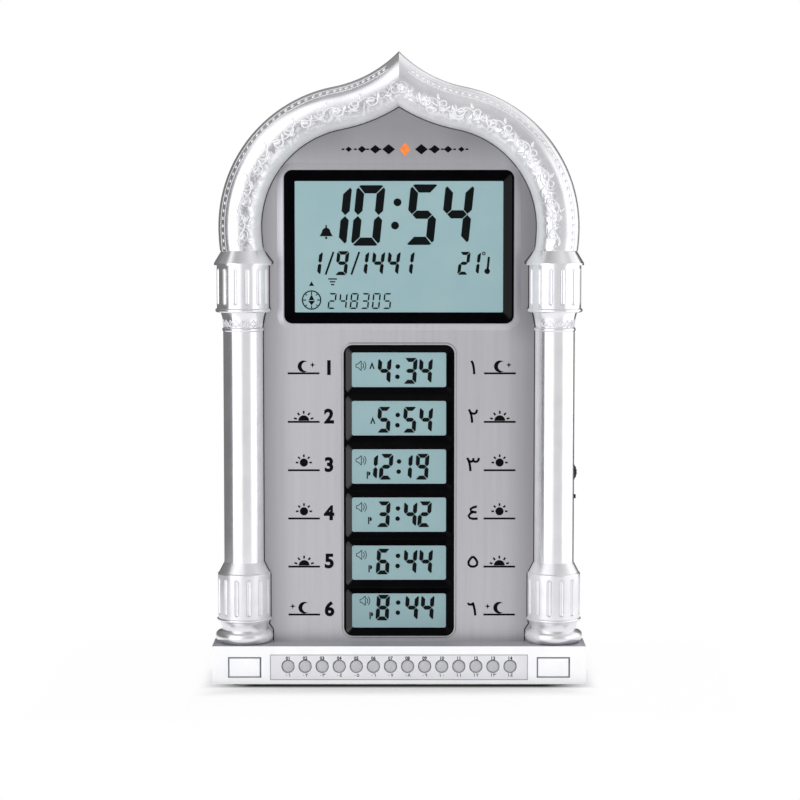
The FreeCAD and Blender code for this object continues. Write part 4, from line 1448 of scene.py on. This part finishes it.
@dataclass(frozen=True)
class EasternFigure:
    """Eastern Arabic numerals drawn with brush strokes in a box of unit height."""

    height: float
    stroke: float

    STROKES = {
        "0": [[(0.34, 0.52), (0.5, 0.36), (0.5, 0.35)]],
        "1": [[(0.3, 1.0), (0.4, 0.84), (0.46, 0.6), (0.5, 0.3), (0.52, 0.0)]],
        "2": [[(0.12, 1.0), (0.22, 0.84), (0.3, 0.6), (0.35, 0.3), (0.37, 0.0)],
              [(0.2, 0.8), (0.36, 0.7), (0.54, 0.68), (0.68, 0.76), (0.74, 0.98)]],
        "3": [[(0.0, 1.0), (0.1, 0.84), (0.18, 0.6), (0.23, 0.3), (0.25, 0.0)],
              [(0.08, 0.8), (0.22, 0.72), (0.36, 0.72), (0.46, 0.82), (0.48, 0.98)],
              [(0.44, 0.8), (0.58, 0.71), (0.72, 0.71), (0.84, 0.8), (0.88, 1.0)]],
        "4": [[(0.74, 0.98), (0.46, 0.9), (0.26, 0.78), (0.3, 0.63), (0.5, 0.56), (0.72, 0.53)],
              [(0.5, 0.56), (0.26, 0.46), (0.12, 0.26), (0.22, 0.1), (0.46, 0.04), (0.8, 0.06)]],
        "5": [[(0.45, 0.84), (0.26, 0.66), (0.12, 0.42), (0.14, 0.2), (0.3, 0.08), (0.46, 0.06)],
              [(0.45, 0.84), (0.64, 0.66), (0.78, 0.42), (0.76, 0.2), (0.6, 0.08), (0.44, 0.06)]],
        "6": [[(0.1, 0.96), (0.14, 0.84), (0.3, 0.82), (0.5, 0.86)],
              [(0.44, 0.98), (0.52, 0.74), (0.6, 0.4), (0.64, 0.0)]],
        "7": [[(0.05, 1.0), (0.2, 0.8), (0.34, 0.45), (0.42, 0.0)],
              [(0.79, 1.0), (0.64, 0.8), (0.5, 0.45), (0.42, 0.0)]],
        "8": [[(0.05, 0.0), (0.2, 0.3), (0.34, 0.65), (0.42, 1.0)],
              [(0.79, 0.0), (0.64, 0.3), (0.5, 0.65), (0.42, 1.0)]],
        "9": [[(0.56, 0.62), (0.34, 0.56), (0.2, 0.68), (0.24, 0.88), (0.4, 0.96), (0.54, 0.86),
               (0.58, 0.6), (0.62, 0.3), (0.66, 0.0)]],
    }

    def outlines(self, figure: str, x: float, z: float) -> list[list[Point]]:
        """Outlines of one figure's strokes, its foot's middle at the given place."""
        scale = self.height
        return [ribbon([(x + (px - 0.42) * scale, z + pz * scale) for px, pz in line], self.stroke)
                for line in self.STROKES[figure]]


# Displays


@dataclass(frozen=True)
class SegmentDigit:
    """A slanted seven-segment figure with mitred strokes and thin seams."""

    width: float
    height: float
    stroke: float
    seam: float
    slant: float

    LIT = {"0": "abcdef", "1": "bc", "2": "abged", "3": "abgcd", "4": "fgbc", "5": "afgcd",
           "6": "afgedc", "7": "abc", "8": "abcdefg", "9": "abcdfg"}

    def segments(self) -> dict[str, list[Point]]:
        """Outline of each segment, with the figure's middle at the origin.

        Returns:
            The outlines by the usual letters of the segments.
        """
        w = self.width / 2
        h = self.height / 2
        t = self.stroke
        s = self.seam
        c = t * 0.22
        upper = [(-w, h - s - t * 0.45), (-w + c, h - s - c), (-w + t, h - t - s),
                 (-w + t, t / 2 + s), (-w + t / 2, s), (-w, t / 2 + s)]
        top = [(-w + s + c, h - c * 0.5), (-w + s + t * 0.45, h), (w - s - t * 0.45, h),
               (w - s - c, h - c * 0.5), (w - t - s, h - t), (-w + t + s, h - t)]
        middle = [(-w + t / 2 + s, 0), (-w + t + s, t / 2), (w - t - s, t / 2),
                  (w - t / 2 - s, 0), (w - t - s, -t / 2), (-w + t + s, -t / 2)]
        return {
            "a": top, "d": [(x, -z) for x, z in top], "g": middle,
            "f": upper, "b": [(-x, z) for x, z in upper],
            "e": [(x, -z) for x, z in upper], "c": [(-x, -z) for x, z in upper],
        }

    def outlines(self, figure: str, x: float, z: float) -> list[list[Point]]:
        """Outlines of a figure's lit segments.

        Args:
            figure: the character.
            x: its middle.
            z: its middle height.

        Returns:
            One outline for each lit segment.
        """
        lean = math.tan(math.radians(self.slant))
        shapes = self.segments()
        return [[(x + px + pz * lean, z + pz) for px, pz in shapes[name]]
                for name in self.LIT[figure]]


@dataclass
class MainDisplay:
    """Ink of the wide display: time, date, temperature, compass and lower row."""

    time_z: float = 282.6
    date_z: float = 253.8
    degrees_z: float = 253.7
    lower_x: float = -40.3
    lower_pitch: float = 6.65
    lower_z: float = 231.0

    TIME = (("1", -38.6, -0.3), ("0", -18.5, -0.2), ("5", 13.9, 0.3), ("4", 34.9, 0.5))
    COLON = ((-0.9, 290.3), (-2.4, 276.4))
    BELL = (-43.8, 272.5)
    DATE = (("1", -50.2), ("9", -34.3), ("1", -22.3), ("4", -12.7), ("4", -3.4), ("1", 5.0))
    SLASHES = (((-44.2, 246.9), (-39.4, 260.6)), ((-28.7, 246.9), (-23.9, 260.6)))
    DEGREES = (("2", 39.1), ("1", 45.4))
    COMPASS = (-52.7, 231.6)
    STEPS = (((-42.6, 244.3), (-37.4, 244.3)), ((-41.6, 242.6), (-38.4, 242.6)),
             ((-41.0, 240.9), (-39.0, 240.9)))
    LOWER_ROW = "248305"

    def build(self, wardrobe: Wardrobe) -> None:
        """Make every inked group.

        Args:
            wardrobe: the finishes.
        """
        groups = {"main_time_ink": self.time(), "main_date_ink": self.date(),
                  "main_temperature_ink": self.temperature(),
                  "main_compass_ink": self.compass(), "main_lower_row_ink": self.lower_row()}
        for name, outlines in groups.items():
            piece = tiles(name, outlines, Plane.GLASS.value)
            dressed(piece, wardrobe["display_ink"])

    def time(self) -> list[list[Point]]:
        """The large figures, their colon and a small bell.

        Returns:
            The outlines.
        """
        digit = SegmentDigit(width=17.3, height=36.3, stroke=4.9, seam=0.3, slant=5.9)
        shapes = []
        for figure, x, rise in self.TIME:
            shapes += digit.outlines(figure, x, self.time_z + rise)
        shapes += [disc(dot, 2.35) for dot in self.COLON]
        return shapes + self.bell(self.BELL, 4.1)

    @staticmethod
    def bell(centre: Point, size: float) -> list[list[Point]]:
        """A small bell sign.

        Args:
            centre: middle of its foot line.
            size: its height over the middle.

        Returns:
            Outlines of dome, clapper and knob.
        """
        x, z = centre
        dome = arc((x, z), size * 0.62, 0, 180, 9)
        skirt = [(x - size * 0.95, z - size * 0.62), (x + size * 0.95, z - size * 0.62)]
        return [dome + skirt, disc((x, z - size * 0.86), size * 0.18, 10),
                bar((x, z + size * 0.5), (x, z + size), size * 0.22)]

    def date(self) -> list[list[Point]]:
        """Day, month and year in thin figures with slashes between.

        Returns:
            The outlines.
        """
        digit = SegmentDigit(width=7.3, height=14.4, stroke=2.1, seam=0.16, slant=7.0)
        shapes = []
        for figure, x in self.DATE:
            shapes += digit.outlines(figure, x, self.date_z)
        return shapes + [bar(foot, head, 1.15) for foot, head in self.SLASHES]

    def temperature(self) -> list[list[Point]]:
        """Two figures, a degree ring and a small thermometer.

        Returns:
            The outlines.
        """
        digit = SegmentDigit(width=6.5, height=13.8, stroke=1.9, seam=0.16, slant=7.0)
        shapes = []
        for figure, x in self.DEGREES:
            shapes += digit.outlines(figure, x, self.degrees_z)
        shapes += ring((51.0, 259.6), 0.8, 0.55)
        shapes.append(bar((53.3, 249.5), (54.1, 257.6), 1.3))
        shapes.append(disc((53.1, 248.9), 1.7, 18))
        return shapes

    def compass(self) -> list[list[Point]]:
        """A compass rose in a ring, with a mark above it and three short steps beside.

        Returns:
            The outlines.
        """
        shapes = ring(self.COMPASS, 5.5, 0.75)
        x, z = self.COMPASS
        for k in range(8):
            shapes.append(ray(self.COMPASS, 45 * k, 4.0 if k % 2 else 3.3, 5.0, 0.65))
        shapes.append([(x, z + 3.4), (x - 1.7, z - 0.1), (x + 1.7, z - 0.1)])
        shapes.append([(x - 2.1, z - 0.5), (x + 2.1, z - 0.5), (x, z - 3.2)])
        shapes.append([(x, z + 11.3), (x - 1.5, z + 8.5), (x + 1.5, z + 8.5)])
        return shapes + [bar(left, right, 0.8) for left, right in self.STEPS]

    def lower_row(self) -> list[list[Point]]:
        """Six thin figures.

        Returns:
            The outlines.
        """
        digit = SegmentDigit(width=4.7, height=9.6, stroke=0.92, seam=0.3, slant=6.0)
        shapes = []
        for k, figure in enumerate(self.LOWER_ROW):
            shapes += digit.outlines(figure, self.lower_x + k * self.lower_pitch, self.lower_z)
        return shapes


@dataclass(frozen=True)
class TimeRow:
    """What one small display shows, and where, from the middle of its window."""

    figures: str
    places: tuple[float, ...]
    rise: float
    colon: Point
    mark: Point
    morning: bool
    sound: Point | None


@dataclass
class TimesDisplay:
    """Ink of the six small displays: figures, colon, half-day mark and sound sign."""

    lowest_z: float = 42.7
    pitch: float = 29.35

    ROWS = (
        TimeRow("844", (-9.9, 7.7, 17.2), 1.8, (-0.6, 1.8), (-16.6, -3.2), False, (-20.7, 6.0)),
        TimeRow("644", (-9.7, 6.8, 16.2), 0.7, (-0.75, 1.1), (-17.2, -3.7), False, (-22.8, 4.8)),
        TimeRow("342", (-9.5, 6.8, 15.5), 0.3, (-0.75, 0.7), (-17.4, -3.6), False, (-22.8, 4.6)),
        TimeRow("1219", (-17.0, -7.8, 4.0, 14.0), -0.1, (-0.1, 0.0), (-18.2, -5.2), False,
                (-23.0, 3.8)),
        TimeRow("554", (-9.1, 6.5, 16.2), -0.9, (-0.85, -1.1), (-15.9, -1.2), True, None),
        TimeRow("434", (-8.9, 6.8, 16.0), -0.6, (-0.85, -1.1), (-16.3, 2.7), True, (-23.0, 2.5)),
    )

    def build(self, wardrobe: Wardrobe) -> None:
        """Make one inked group for each display.

        Args:
            wardrobe: the finishes.
        """
        for index, row in enumerate(self.ROWS):
            z = self.lowest_z + index * self.pitch
            shapes = self.figures(row, z)
            shapes += self.half_day(row, z)
            if row.sound:
                shapes += self.sound_sign(row.sound[0], z + row.sound[1])
            piece = tiles("times_ink_%d" % (index + 1), shapes, Plane.GLASS.value)
            dressed(piece, wardrobe["display_ink"])

    @staticmethod
    def figures(row: TimeRow, z: float) -> list[list[Point]]:
        """The figures and colon of one time.

        Args:
            row: what the display shows.
            z: height of the window's middle.

        Returns:
            The outlines.
        """
        digit = SegmentDigit(width=8.0, height=15.7, stroke=2.45, seam=0.18, slant=3.5)
        shapes = []
        for figure, x in zip(row.figures, row.places):
            shapes += digit.outlines(figure, x, z + row.rise)
        x, rise = row.colon
        for sense in (1, -1):
            shapes.append(disc((x + 0.1 * sense, z + rise + 3.1 * sense), 1.4, 18))
        return shapes

    @staticmethod
    def half_day(row: TimeRow, z: float) -> list[list[Point]]:
        """A pointed mark for the morning or a half disc on a post for the afternoon.

        Args:
            row: what the display shows.
            z: height of the window's middle.

        Returns:
            The outlines.
        """
        x, rise = row.mark
        low = z + rise - 2.2
        if row.morning:
            return [[(x, low + 4.4), (x - 1.6, low), (x - 0.8, low), (x, low + 2.2),
                     (x + 0.8, low), (x + 1.6, low)]]
        return [bar((x - 1.0, low), (x - 1.0, low + 4.4), 0.75),
                arc((x - 0.4, low + 3.1), 1.3, -90, 90, 9)]

    @staticmethod
    def sound_sign(x: float, z: float) -> list[list[Point]]:
        """A small horn in outline with two waves.

        Args:
            x: the horn's place across.
            z: its middle height.

        Returns:
            The outlines.
        """
        horn = [(x - 3.0, z + 0.9), (x - 1.9, z + 1.0), (x + 0.2, z + 2.9), (x + 0.2, z - 2.9),
                (x - 1.9, z - 1.0), (x - 3.0, z - 0.9)]
        shapes = [bar(a, b, 0.42) for a, b in zip(horn, horn[1:] + horn[:1])]
        for radius in (2.2, 3.5):
            shapes.append(band((x - 0.5, z), radius, 0.42, -48, 48, 7))
        return shapes


# Prints


@dataclass
class RowLabels:
    """Bold numerals with a sky sign beside each small display."""

    lowest_z: float = 43.9
    pitch: float = 29.4
    figure: float = 8.1
    stroke: float = 1.45
    numeral_x: float = -42.3
    eastern_x: float = 44.6
    sign_x_left: float = -57.6
    sign_x_right: float = 60.9
    horizon_half: float = 9.6

    SUN_RISE = (0.0, 0.1, 3.9, 4.2, 0.1, 0.0)
    STAR_SHIFT = {0: -7.0, 5: 5.4}

    def build(self, wardrobe: Wardrobe) -> None:
        """Make the prints of both sides.

        Args:
            wardrobe: the finishes.
        """
        signs = {side: [] for side in Side}
        figures = []
        eastern = EasternFigure(self.figure, self.stroke)
        for row in range(6):
            z = self.lowest_z + row * self.pitch
            number = str(6 - row)
            foot = z - self.figure / 2
            figures.append(numeral(number, self.numeral_x, foot, self.figure, Plane.PANEL.value,
                                   0.5))
            signs[Side.RIGHT] += eastern.outlines(number, self.eastern_x, foot)
            signs[Side.LEFT] += self.sky_sign(self.sign_x_left, z, row)
            signs[Side.RIGHT] += self.sky_sign(self.sign_x_right, z, row)
        left = join(figures + [tiles("signs", signs[Side.LEFT], Plane.PANEL.value)],
                    "row_labels_left")
        right = tiles("row_labels_right", signs[Side.RIGHT], Plane.PANEL.value)
        for piece in (left, right):
            dressed(piece, wardrobe["print_black"])

    def sky_sign(self, x: float, z: float, row: int) -> list[list[Point]]:
        """Sun at the height of the day's part over a horizon line, or a moon at night.

        Args:
            x: its middle.
            z: height of the row's middle.
            row: the row, counted from the lowest.

        Returns:
            The outlines.
        """
        line_z = z - 3.5
        shapes = [bar((x - self.horizon_half, line_z), (x + self.horizon_half, line_z),
                      self.stroke * 0.8)]
        if row in self.STAR_SHIFT:
            shapes.append(arc((x, z + 0.7), 3.6, 60, 300, 15)
                          + arc((x + 1.7, z + 0.7), 2.9, 285, 75, 13))
            shapes.append(self.star(x + self.STAR_SHIFT[row], z + 1.6, 1.7))
            return shapes
        horizon = z - 3.0
        centre = (x, horizon + self.SUN_RISE[row])
        if self.SUN_RISE[row] < 1:
            shapes.append(arc((x, horizon + 0.2), 3.3, 0, 180, 13))
            start, step, near, far = 16, 37, 4.3, 6.1
        else:
            shapes.append(disc(centre, 2.5, 20))
            start, step, near, far = 0, 45, 3.3, 4.9
        return shapes + [ray(centre, start + step * k, near, far, 1.05) for k in range(5)]

    @staticmethod
    def star(x: float, z: float, size: float) -> list[Point]:
        """A star with four points."""
        return [polar((x, z), size if k % 2 == 0 else size * 0.36, 45 * k) for k in range(8)]


@dataclass
class TopOrnament:
    """An orange lozenge between rows of small black ones, above the wide display."""

    x: float = 3.6
    z: float = 322.0
    count: int = 4
    first: float = 9.8
    pitch: float = 8.0

    def build(self, wardrobe: Wardrobe) -> None:
        """Make both prints.

        Args:
            wardrobe: the finishes.
        """
        middle = lozenge((self.x, self.z), 3.2, 4.0)
        orange = tiles("top_ornament_lozenge", [middle], Plane.PANEL.value)
        dressed(orange, wardrobe["print_orange"])
        shapes = []
        for side in Side:
            for k in range(self.count):
                x = self.x + side.value * (self.first + k * self.pitch)
                half_height = 3.1 - 0.5 * k
                half_width = half_height * 1.25
                shapes.append(lozenge((x, self.z), half_width, half_height))
                shapes.append(bar((x + side.value * (half_width + 0.5), self.z),
                                  (x + side.value * (half_width + 2.2), self.z), 0.9))
        black = tiles("top_ornament_row", shapes, Plane.PANEL.value)
        dressed(black, wardrobe["print_black"])


@dataclass
class KeyStrip:
    """Small numbers above and below every key, a dark gap line round each with a painted shadow
    crescent over its top, and the strip's edge line.
    """

    count: int = 14
    pitch: float = 10.28
    key_z: float = 11.7
    hole: float = 3.65
    upper_z: float = 15.85
    lower_z: float = 5.5
    figure: float = 1.9
    half_gap: float = 0.95
    strip_width: float = 155.0
    strip_height: float = 15.3
    strip_z: float = 11.25

    def build(self, wardrobe: Wardrobe) -> None:
        """Make the two rows of numbers and the outlines.

        Args:
            wardrobe: the finishes.
        """
        front = Plane.LABEL.value
        eastern = EasternFigure(self.figure, 0.34)
        upper = []
        lower = []
        rings_and_shadows = []
        first = -(self.count - 1) * self.pitch / 2
        for k in range(self.count):
            x = first + k * self.pitch
            number = "%02d" % (k + 1)
            upper.append(numeral(number, x, self.upper_z, self.figure, front, 0.09))
            lower += eastern.outlines(number[0], x - self.half_gap, self.lower_z)
            lower += eastern.outlines(number[1], x + self.half_gap, self.lower_z)
            rings_and_shadows += ring((x, self.key_z), self.hole + 0.16, 0.3)
            # Painted shadow: a crescent over the top of the hole.
            rings_and_shadows.append(band((x, self.key_z), self.hole + 0.3, 0.34, 25, 155, 9))
        dressed(join(upper, "key_numbers_upper"), wardrobe["print_black"])
        dressed(tiles("key_numbers_lower", lower, front), wardrobe["print_black"])
        dressed(tiles("key_rings_and_shadows", rings_and_shadows, front), wardrobe["seam_grey"])
        edge = frame_bars((0.0, self.strip_z), self.strip_width, self.strip_height,
                          (0.35, 0.4, 0.35, 0.35))
        dressed(tiles("label_edge", edge, front), wardrobe["seam_light"])


@dataclass
class BlankSeams:
    """Shadowed joints round the two blank plates on the plinth."""

    x: float = 92.9
    z: float = 11.2
    width: float = 20.0
    height: float = 12.5
    front: float = -23.8

    def build(self, wardrobe: Wardrobe) -> None:
        """Make the joints of both plates.

        Args:
            wardrobe: the finishes.
        """
        for side in Side:
            # Painted shadow in the joints, widest on the right.
            bars = frame_bars((side.value * self.x, self.z), self.width, self.height,
                              (0.55, 0.5, 0.95, 0.5))
            piece = tiles("blank_seam_shadow_" + side.word, bars, self.front)
            dressed(piece, wardrobe["seam_grey"])


@dataclass
class DoorMark:
    """A raised arrow on the battery door, under its finger notch."""

    z: float = 88.0
    thickness: float = 0.5
    sunk: float = 0.1

    def build(self, wardrobe: Wardrobe) -> None:
        """Make the arrow, which moves with the door.

        Args:
            wardrobe: the finishes.
        """
        outline = [(0, self.z - 4), (-4, self.z + 1), (-1.5, self.z + 1), (-1.5, self.z + 5),
                   (1.5, self.z + 5), (1.5, self.z + 1), (4, self.z + 1)]
        arrow = flat_tile(outline, Plane.DOOR.value - self.sunk, self.thickness)
        arrow.name = "door_arrow"
        dressed(arrow, wardrobe["case_black"], "door")


# Studio


@dataclass(frozen=True)
class Screen:
    """A lit part of the studio's wall, in degrees from the front, positive to the right."""

    start: float
    stop: float
    soft: float
    level: float

    def light(self, turn: Shade) -> Shade:
        """Its brightness at an angle, where 1 is white."""
        return turn.band(self.start, self.stop, self.soft) * self.level


@dataclass
class Studio:
    """Camera, pale floor, round wall of screens, soft lamps and the world."""

    lens: float = 110.25
    pitch: float = 4.388
    eye: Triple = (0.6, -1481.8, 284.5)
    target_z: float = 190.0
    floor_radius: float = 480.0
    half_width: float = 112.5
    half_depth: float = 23.8
    # Painted contact shadow on the floor: from nearly black to pale over this reach from the plinth.
    contact_shadow: Point = (1.0, 9.0)
    shadow: Point = (8.0, 36.0)
    fade: Point = (36.0, 140.0)
    fade_share: float = 0.05
    ends: Point = (86.0, 126.0)
    ends_share: float = 0.97
    wall_radius: float = 2200.0
    wall_low: float = -1300.0
    wall_top: float = 2800.0
    brightest: float = 2.0
    front_base: float = 0.12
    high_base: float = 0.32
    world_light: float = 0.35

    FRONT_SCREENS = (Screen(-62, -19, 3, 1.75), Screen(-19, -5, 3, 1.0), Screen(46, 130, 4, 1.25),
                     Screen(-150, -62, 5, 0.09))
    HIGH_SCREENS = (Screen(-80, -3, 6, 0.95), Screen(-3, 88, 6, 0.36), Screen(88, 168, 6, 0.7))

    def build(self) -> None:
        """Set up the whole stage."""
        bpy.context.scene.view_settings.view_transform = "Standard"
        self.camera()
        self.floor()
        self.screens()
        self.world()
        self.lamps()

    def camera(self) -> None:
        """The camera at the photograph's viewpoint."""
        data = bpy.data.cameras.new("camera")
        data.lens = self.lens
        data.sensor_width = 36.0
        data.clip_end = 50.0
        camera = bpy.data.objects.new("camera", data)
        camera.location = Vector(self.eye) * MM
        camera.rotation_euler = (math.radians(90 - self.pitch), 0, 0)
        bpy.context.scene.collection.objects.link(camera)
        bpy.context.scene.camera = camera

    def floor(self) -> None:
        """A pale round floor that is white to the camera, keeps the object's shadow and has a painted
        contact shadow round the plinth.
        """
        deselect()
        bpy.ops.mesh.primitive_circle_add(vertices=96, radius=self.floor_radius * MM,
                                          fill_type="NGON")
        floor = bpy.context.object
        floor.name = "floor"
        material = bpy.data.materials.new("floor_white")
        graph = Graph(material)
        across = (graph.axis("X") / MM).absolute()
        along = (graph.axis("Y") / MM).absolute()
        past = (across - self.half_width).at_least(along - self.half_depth).at_least(0.0)
        share = (past.rise(*self.shadow) * (1 - self.fade_share)
                 + past.rise(*self.fade) * self.fade_share)
        share = share.at_least(across.rise(*self.ends) * self.ends_share)
        # Painted contact shadow: the floor's colour goes nearly black close to the plinth.
        tone = graph.blend(past.rise(*self.contact_shadow), grey(0.05), grey(0.9))
        plain = graph.node("ShaderNodeBsdfDiffuse", None, {"Color": tone})
        glow = graph.node("ShaderNodeEmission", None, {"Color": grey(1.0), "Strength": 1.0})
        mix = graph.node("ShaderNodeMixShader", None, {
            0: self.background_ray(graph) * share, 1: plain.outputs[0], 2: glow.outputs[0]})
        graph.show(mix)
        floor.data.materials.append(material)

    @staticmethod
    def background_ray(graph: Graph) -> Shade:
        """1 for a ray that shows the white background: camera, glossy or transmission.

        Args:
            graph: the material's nodes.

        Returns:
            The share, 0 or 1.
        """
        path = graph.node("ShaderNodeLightPath")
        seen = Shade(graph, path.outputs["Is Camera Ray"])
        for name in ("Is Glossy Ray", "Is Transmission Ray"):
            seen = seen.at_least(Shade(graph, path.outputs[name]))
        return seen

    def screens(self) -> None:
        """A round wall of white and grey screens that the plated trim mirrors."""
        deselect()
        middle = (self.wall_top + self.wall_low) / 2
        bpy.ops.mesh.primitive_cylinder_add(vertices=128, radius=self.wall_radius * MM,
                                            depth=(self.wall_top - self.wall_low) * MM,
                                            end_fill_type="NOTHING", location=(0, 0, middle * MM))
        wall = settle(bpy.context.object)
        bpy.ops.mesh.primitive_circle_add(vertices=128, radius=self.wall_radius * MM,
                                          fill_type="NGON", location=(0, 0, self.wall_top * MM))
        wall = join([wall, settle(bpy.context.object)], "screens")
        material = bpy.data.materials.new("screens")
        graph = Graph(material)
        x = graph.axis("X")
        y = graph.axis("Y")
        level = self.levels(x.turn_from(y * -1), graph.axis("Z"))
        ceiling = 1 - x.reach(y).rise(1.75, 2.15)
        level = level * (1 - ceiling) + (0.6 + x * 0.2) * ceiling
        colour = graph.blend(level / self.brightest, grey(0.0), grey(self.brightest))
        graph.show(graph.node("ShaderNodeEmission", None, {"Color": colour, "Strength": 1.0}))
        wall.data.materials.append(material)
        wall.visible_camera = False
        wall.visible_shadow = False

    def levels(self, turn: Shade, height: Shade) -> Shade:
        """Brightness of the screens by the angle from the front and the height.

        Args:
            turn: degrees from the front, positive to the right.
            height: metres above the floor.

        Returns:
            The brightness, where 1 is white.
        """
        low = 1 - height.rise(0.1, 0.7)
        front = turn.band(-5, 46, 4) * (0.44 + low * 0.2) + self.front_base
        for screen in self.FRONT_SCREENS:
            front = front + screen.light(turn)
        upper: Number = self.high_base
        for screen in self.HIGH_SCREENS:
            upper = screen.light(turn) + upper
        high = height.rise(1.1, 1.8)
        return front * (1 - high) + upper * high

    def world(self) -> None:
        """A world that is white as a background and dimmer as a light."""
        world = bpy.data.worlds.new("studio")
        bpy.context.scene.world = world
        graph = Graph(world)
        dim, white = [graph.node("ShaderNodeBackground", None,
                                 {"Color": grey(1.0), "Strength": strength})
                      for strength in (self.world_light, 1.0)]
        mix = graph.node("ShaderNodeMixShader", None, {
            0: self.background_ray(graph), 1: dim.outputs[0], 2: white.outputs[0]})
        graph.show(mix, "World")

    def lamps(self) -> None:
        """A key lamp above left, a fill at the right and one behind for the back."""
        self.lamp("key_lamp", (-900, -1300, 520), 700, 5.2)
        self.lamp("fill_lamp", (1200, -900, 420), 700, 0.8)
        self.lamp("back_lamp", (500, 1300, 900), 900, 8.0)

    def lamp(self, name: str, place: Triple, size: float, power: float) -> None:
        """One square area lamp aimed at the clock's middle.

        Args:
            name: the lamp's name.
            place: where it stands, in millimetres.
            size: side of its square.
            power: watts.
        """
        data = bpy.data.lights.new(name, "AREA")
        data.size = size * MM
        data.energy = power
        lamp = bpy.data.objects.new(name, data)
        lamp.location = Vector(place) * MM
        aim = Vector((0, 0, self.target_z)) * MM - lamp.location
        lamp.rotation_euler = aim.to_track_quat("-Z", "Y").to_euler()
        lamp.visible_camera = False
        lamp.visible_glossy = False
        bpy.context.scene.collection.objects.link(lamp)


def main() -> None:
    """Dress the CAD nodes, build every new piece and set up the studio."""
    logging.basicConfig(level=logging.INFO, format="%(name)s: %(message)s")
    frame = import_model()
    wardrobe = Wardrobe()
    wardrobe.dress_nodes(frame["nodes"])
    line = ArchLine()
    assemblies = (ArchRelief(line), TrimSeamShadows(line), NeckLeaves(), MainDisplay(), TimesDisplay(),
                  RowLabels(), TopOrnament(), KeyStrip(), BlankSeams(), DoorMark())
    for assembly in assemblies:
        assembly.build(wardrobe)
    Studio().build()


if __name__ == "__main__":
    main()
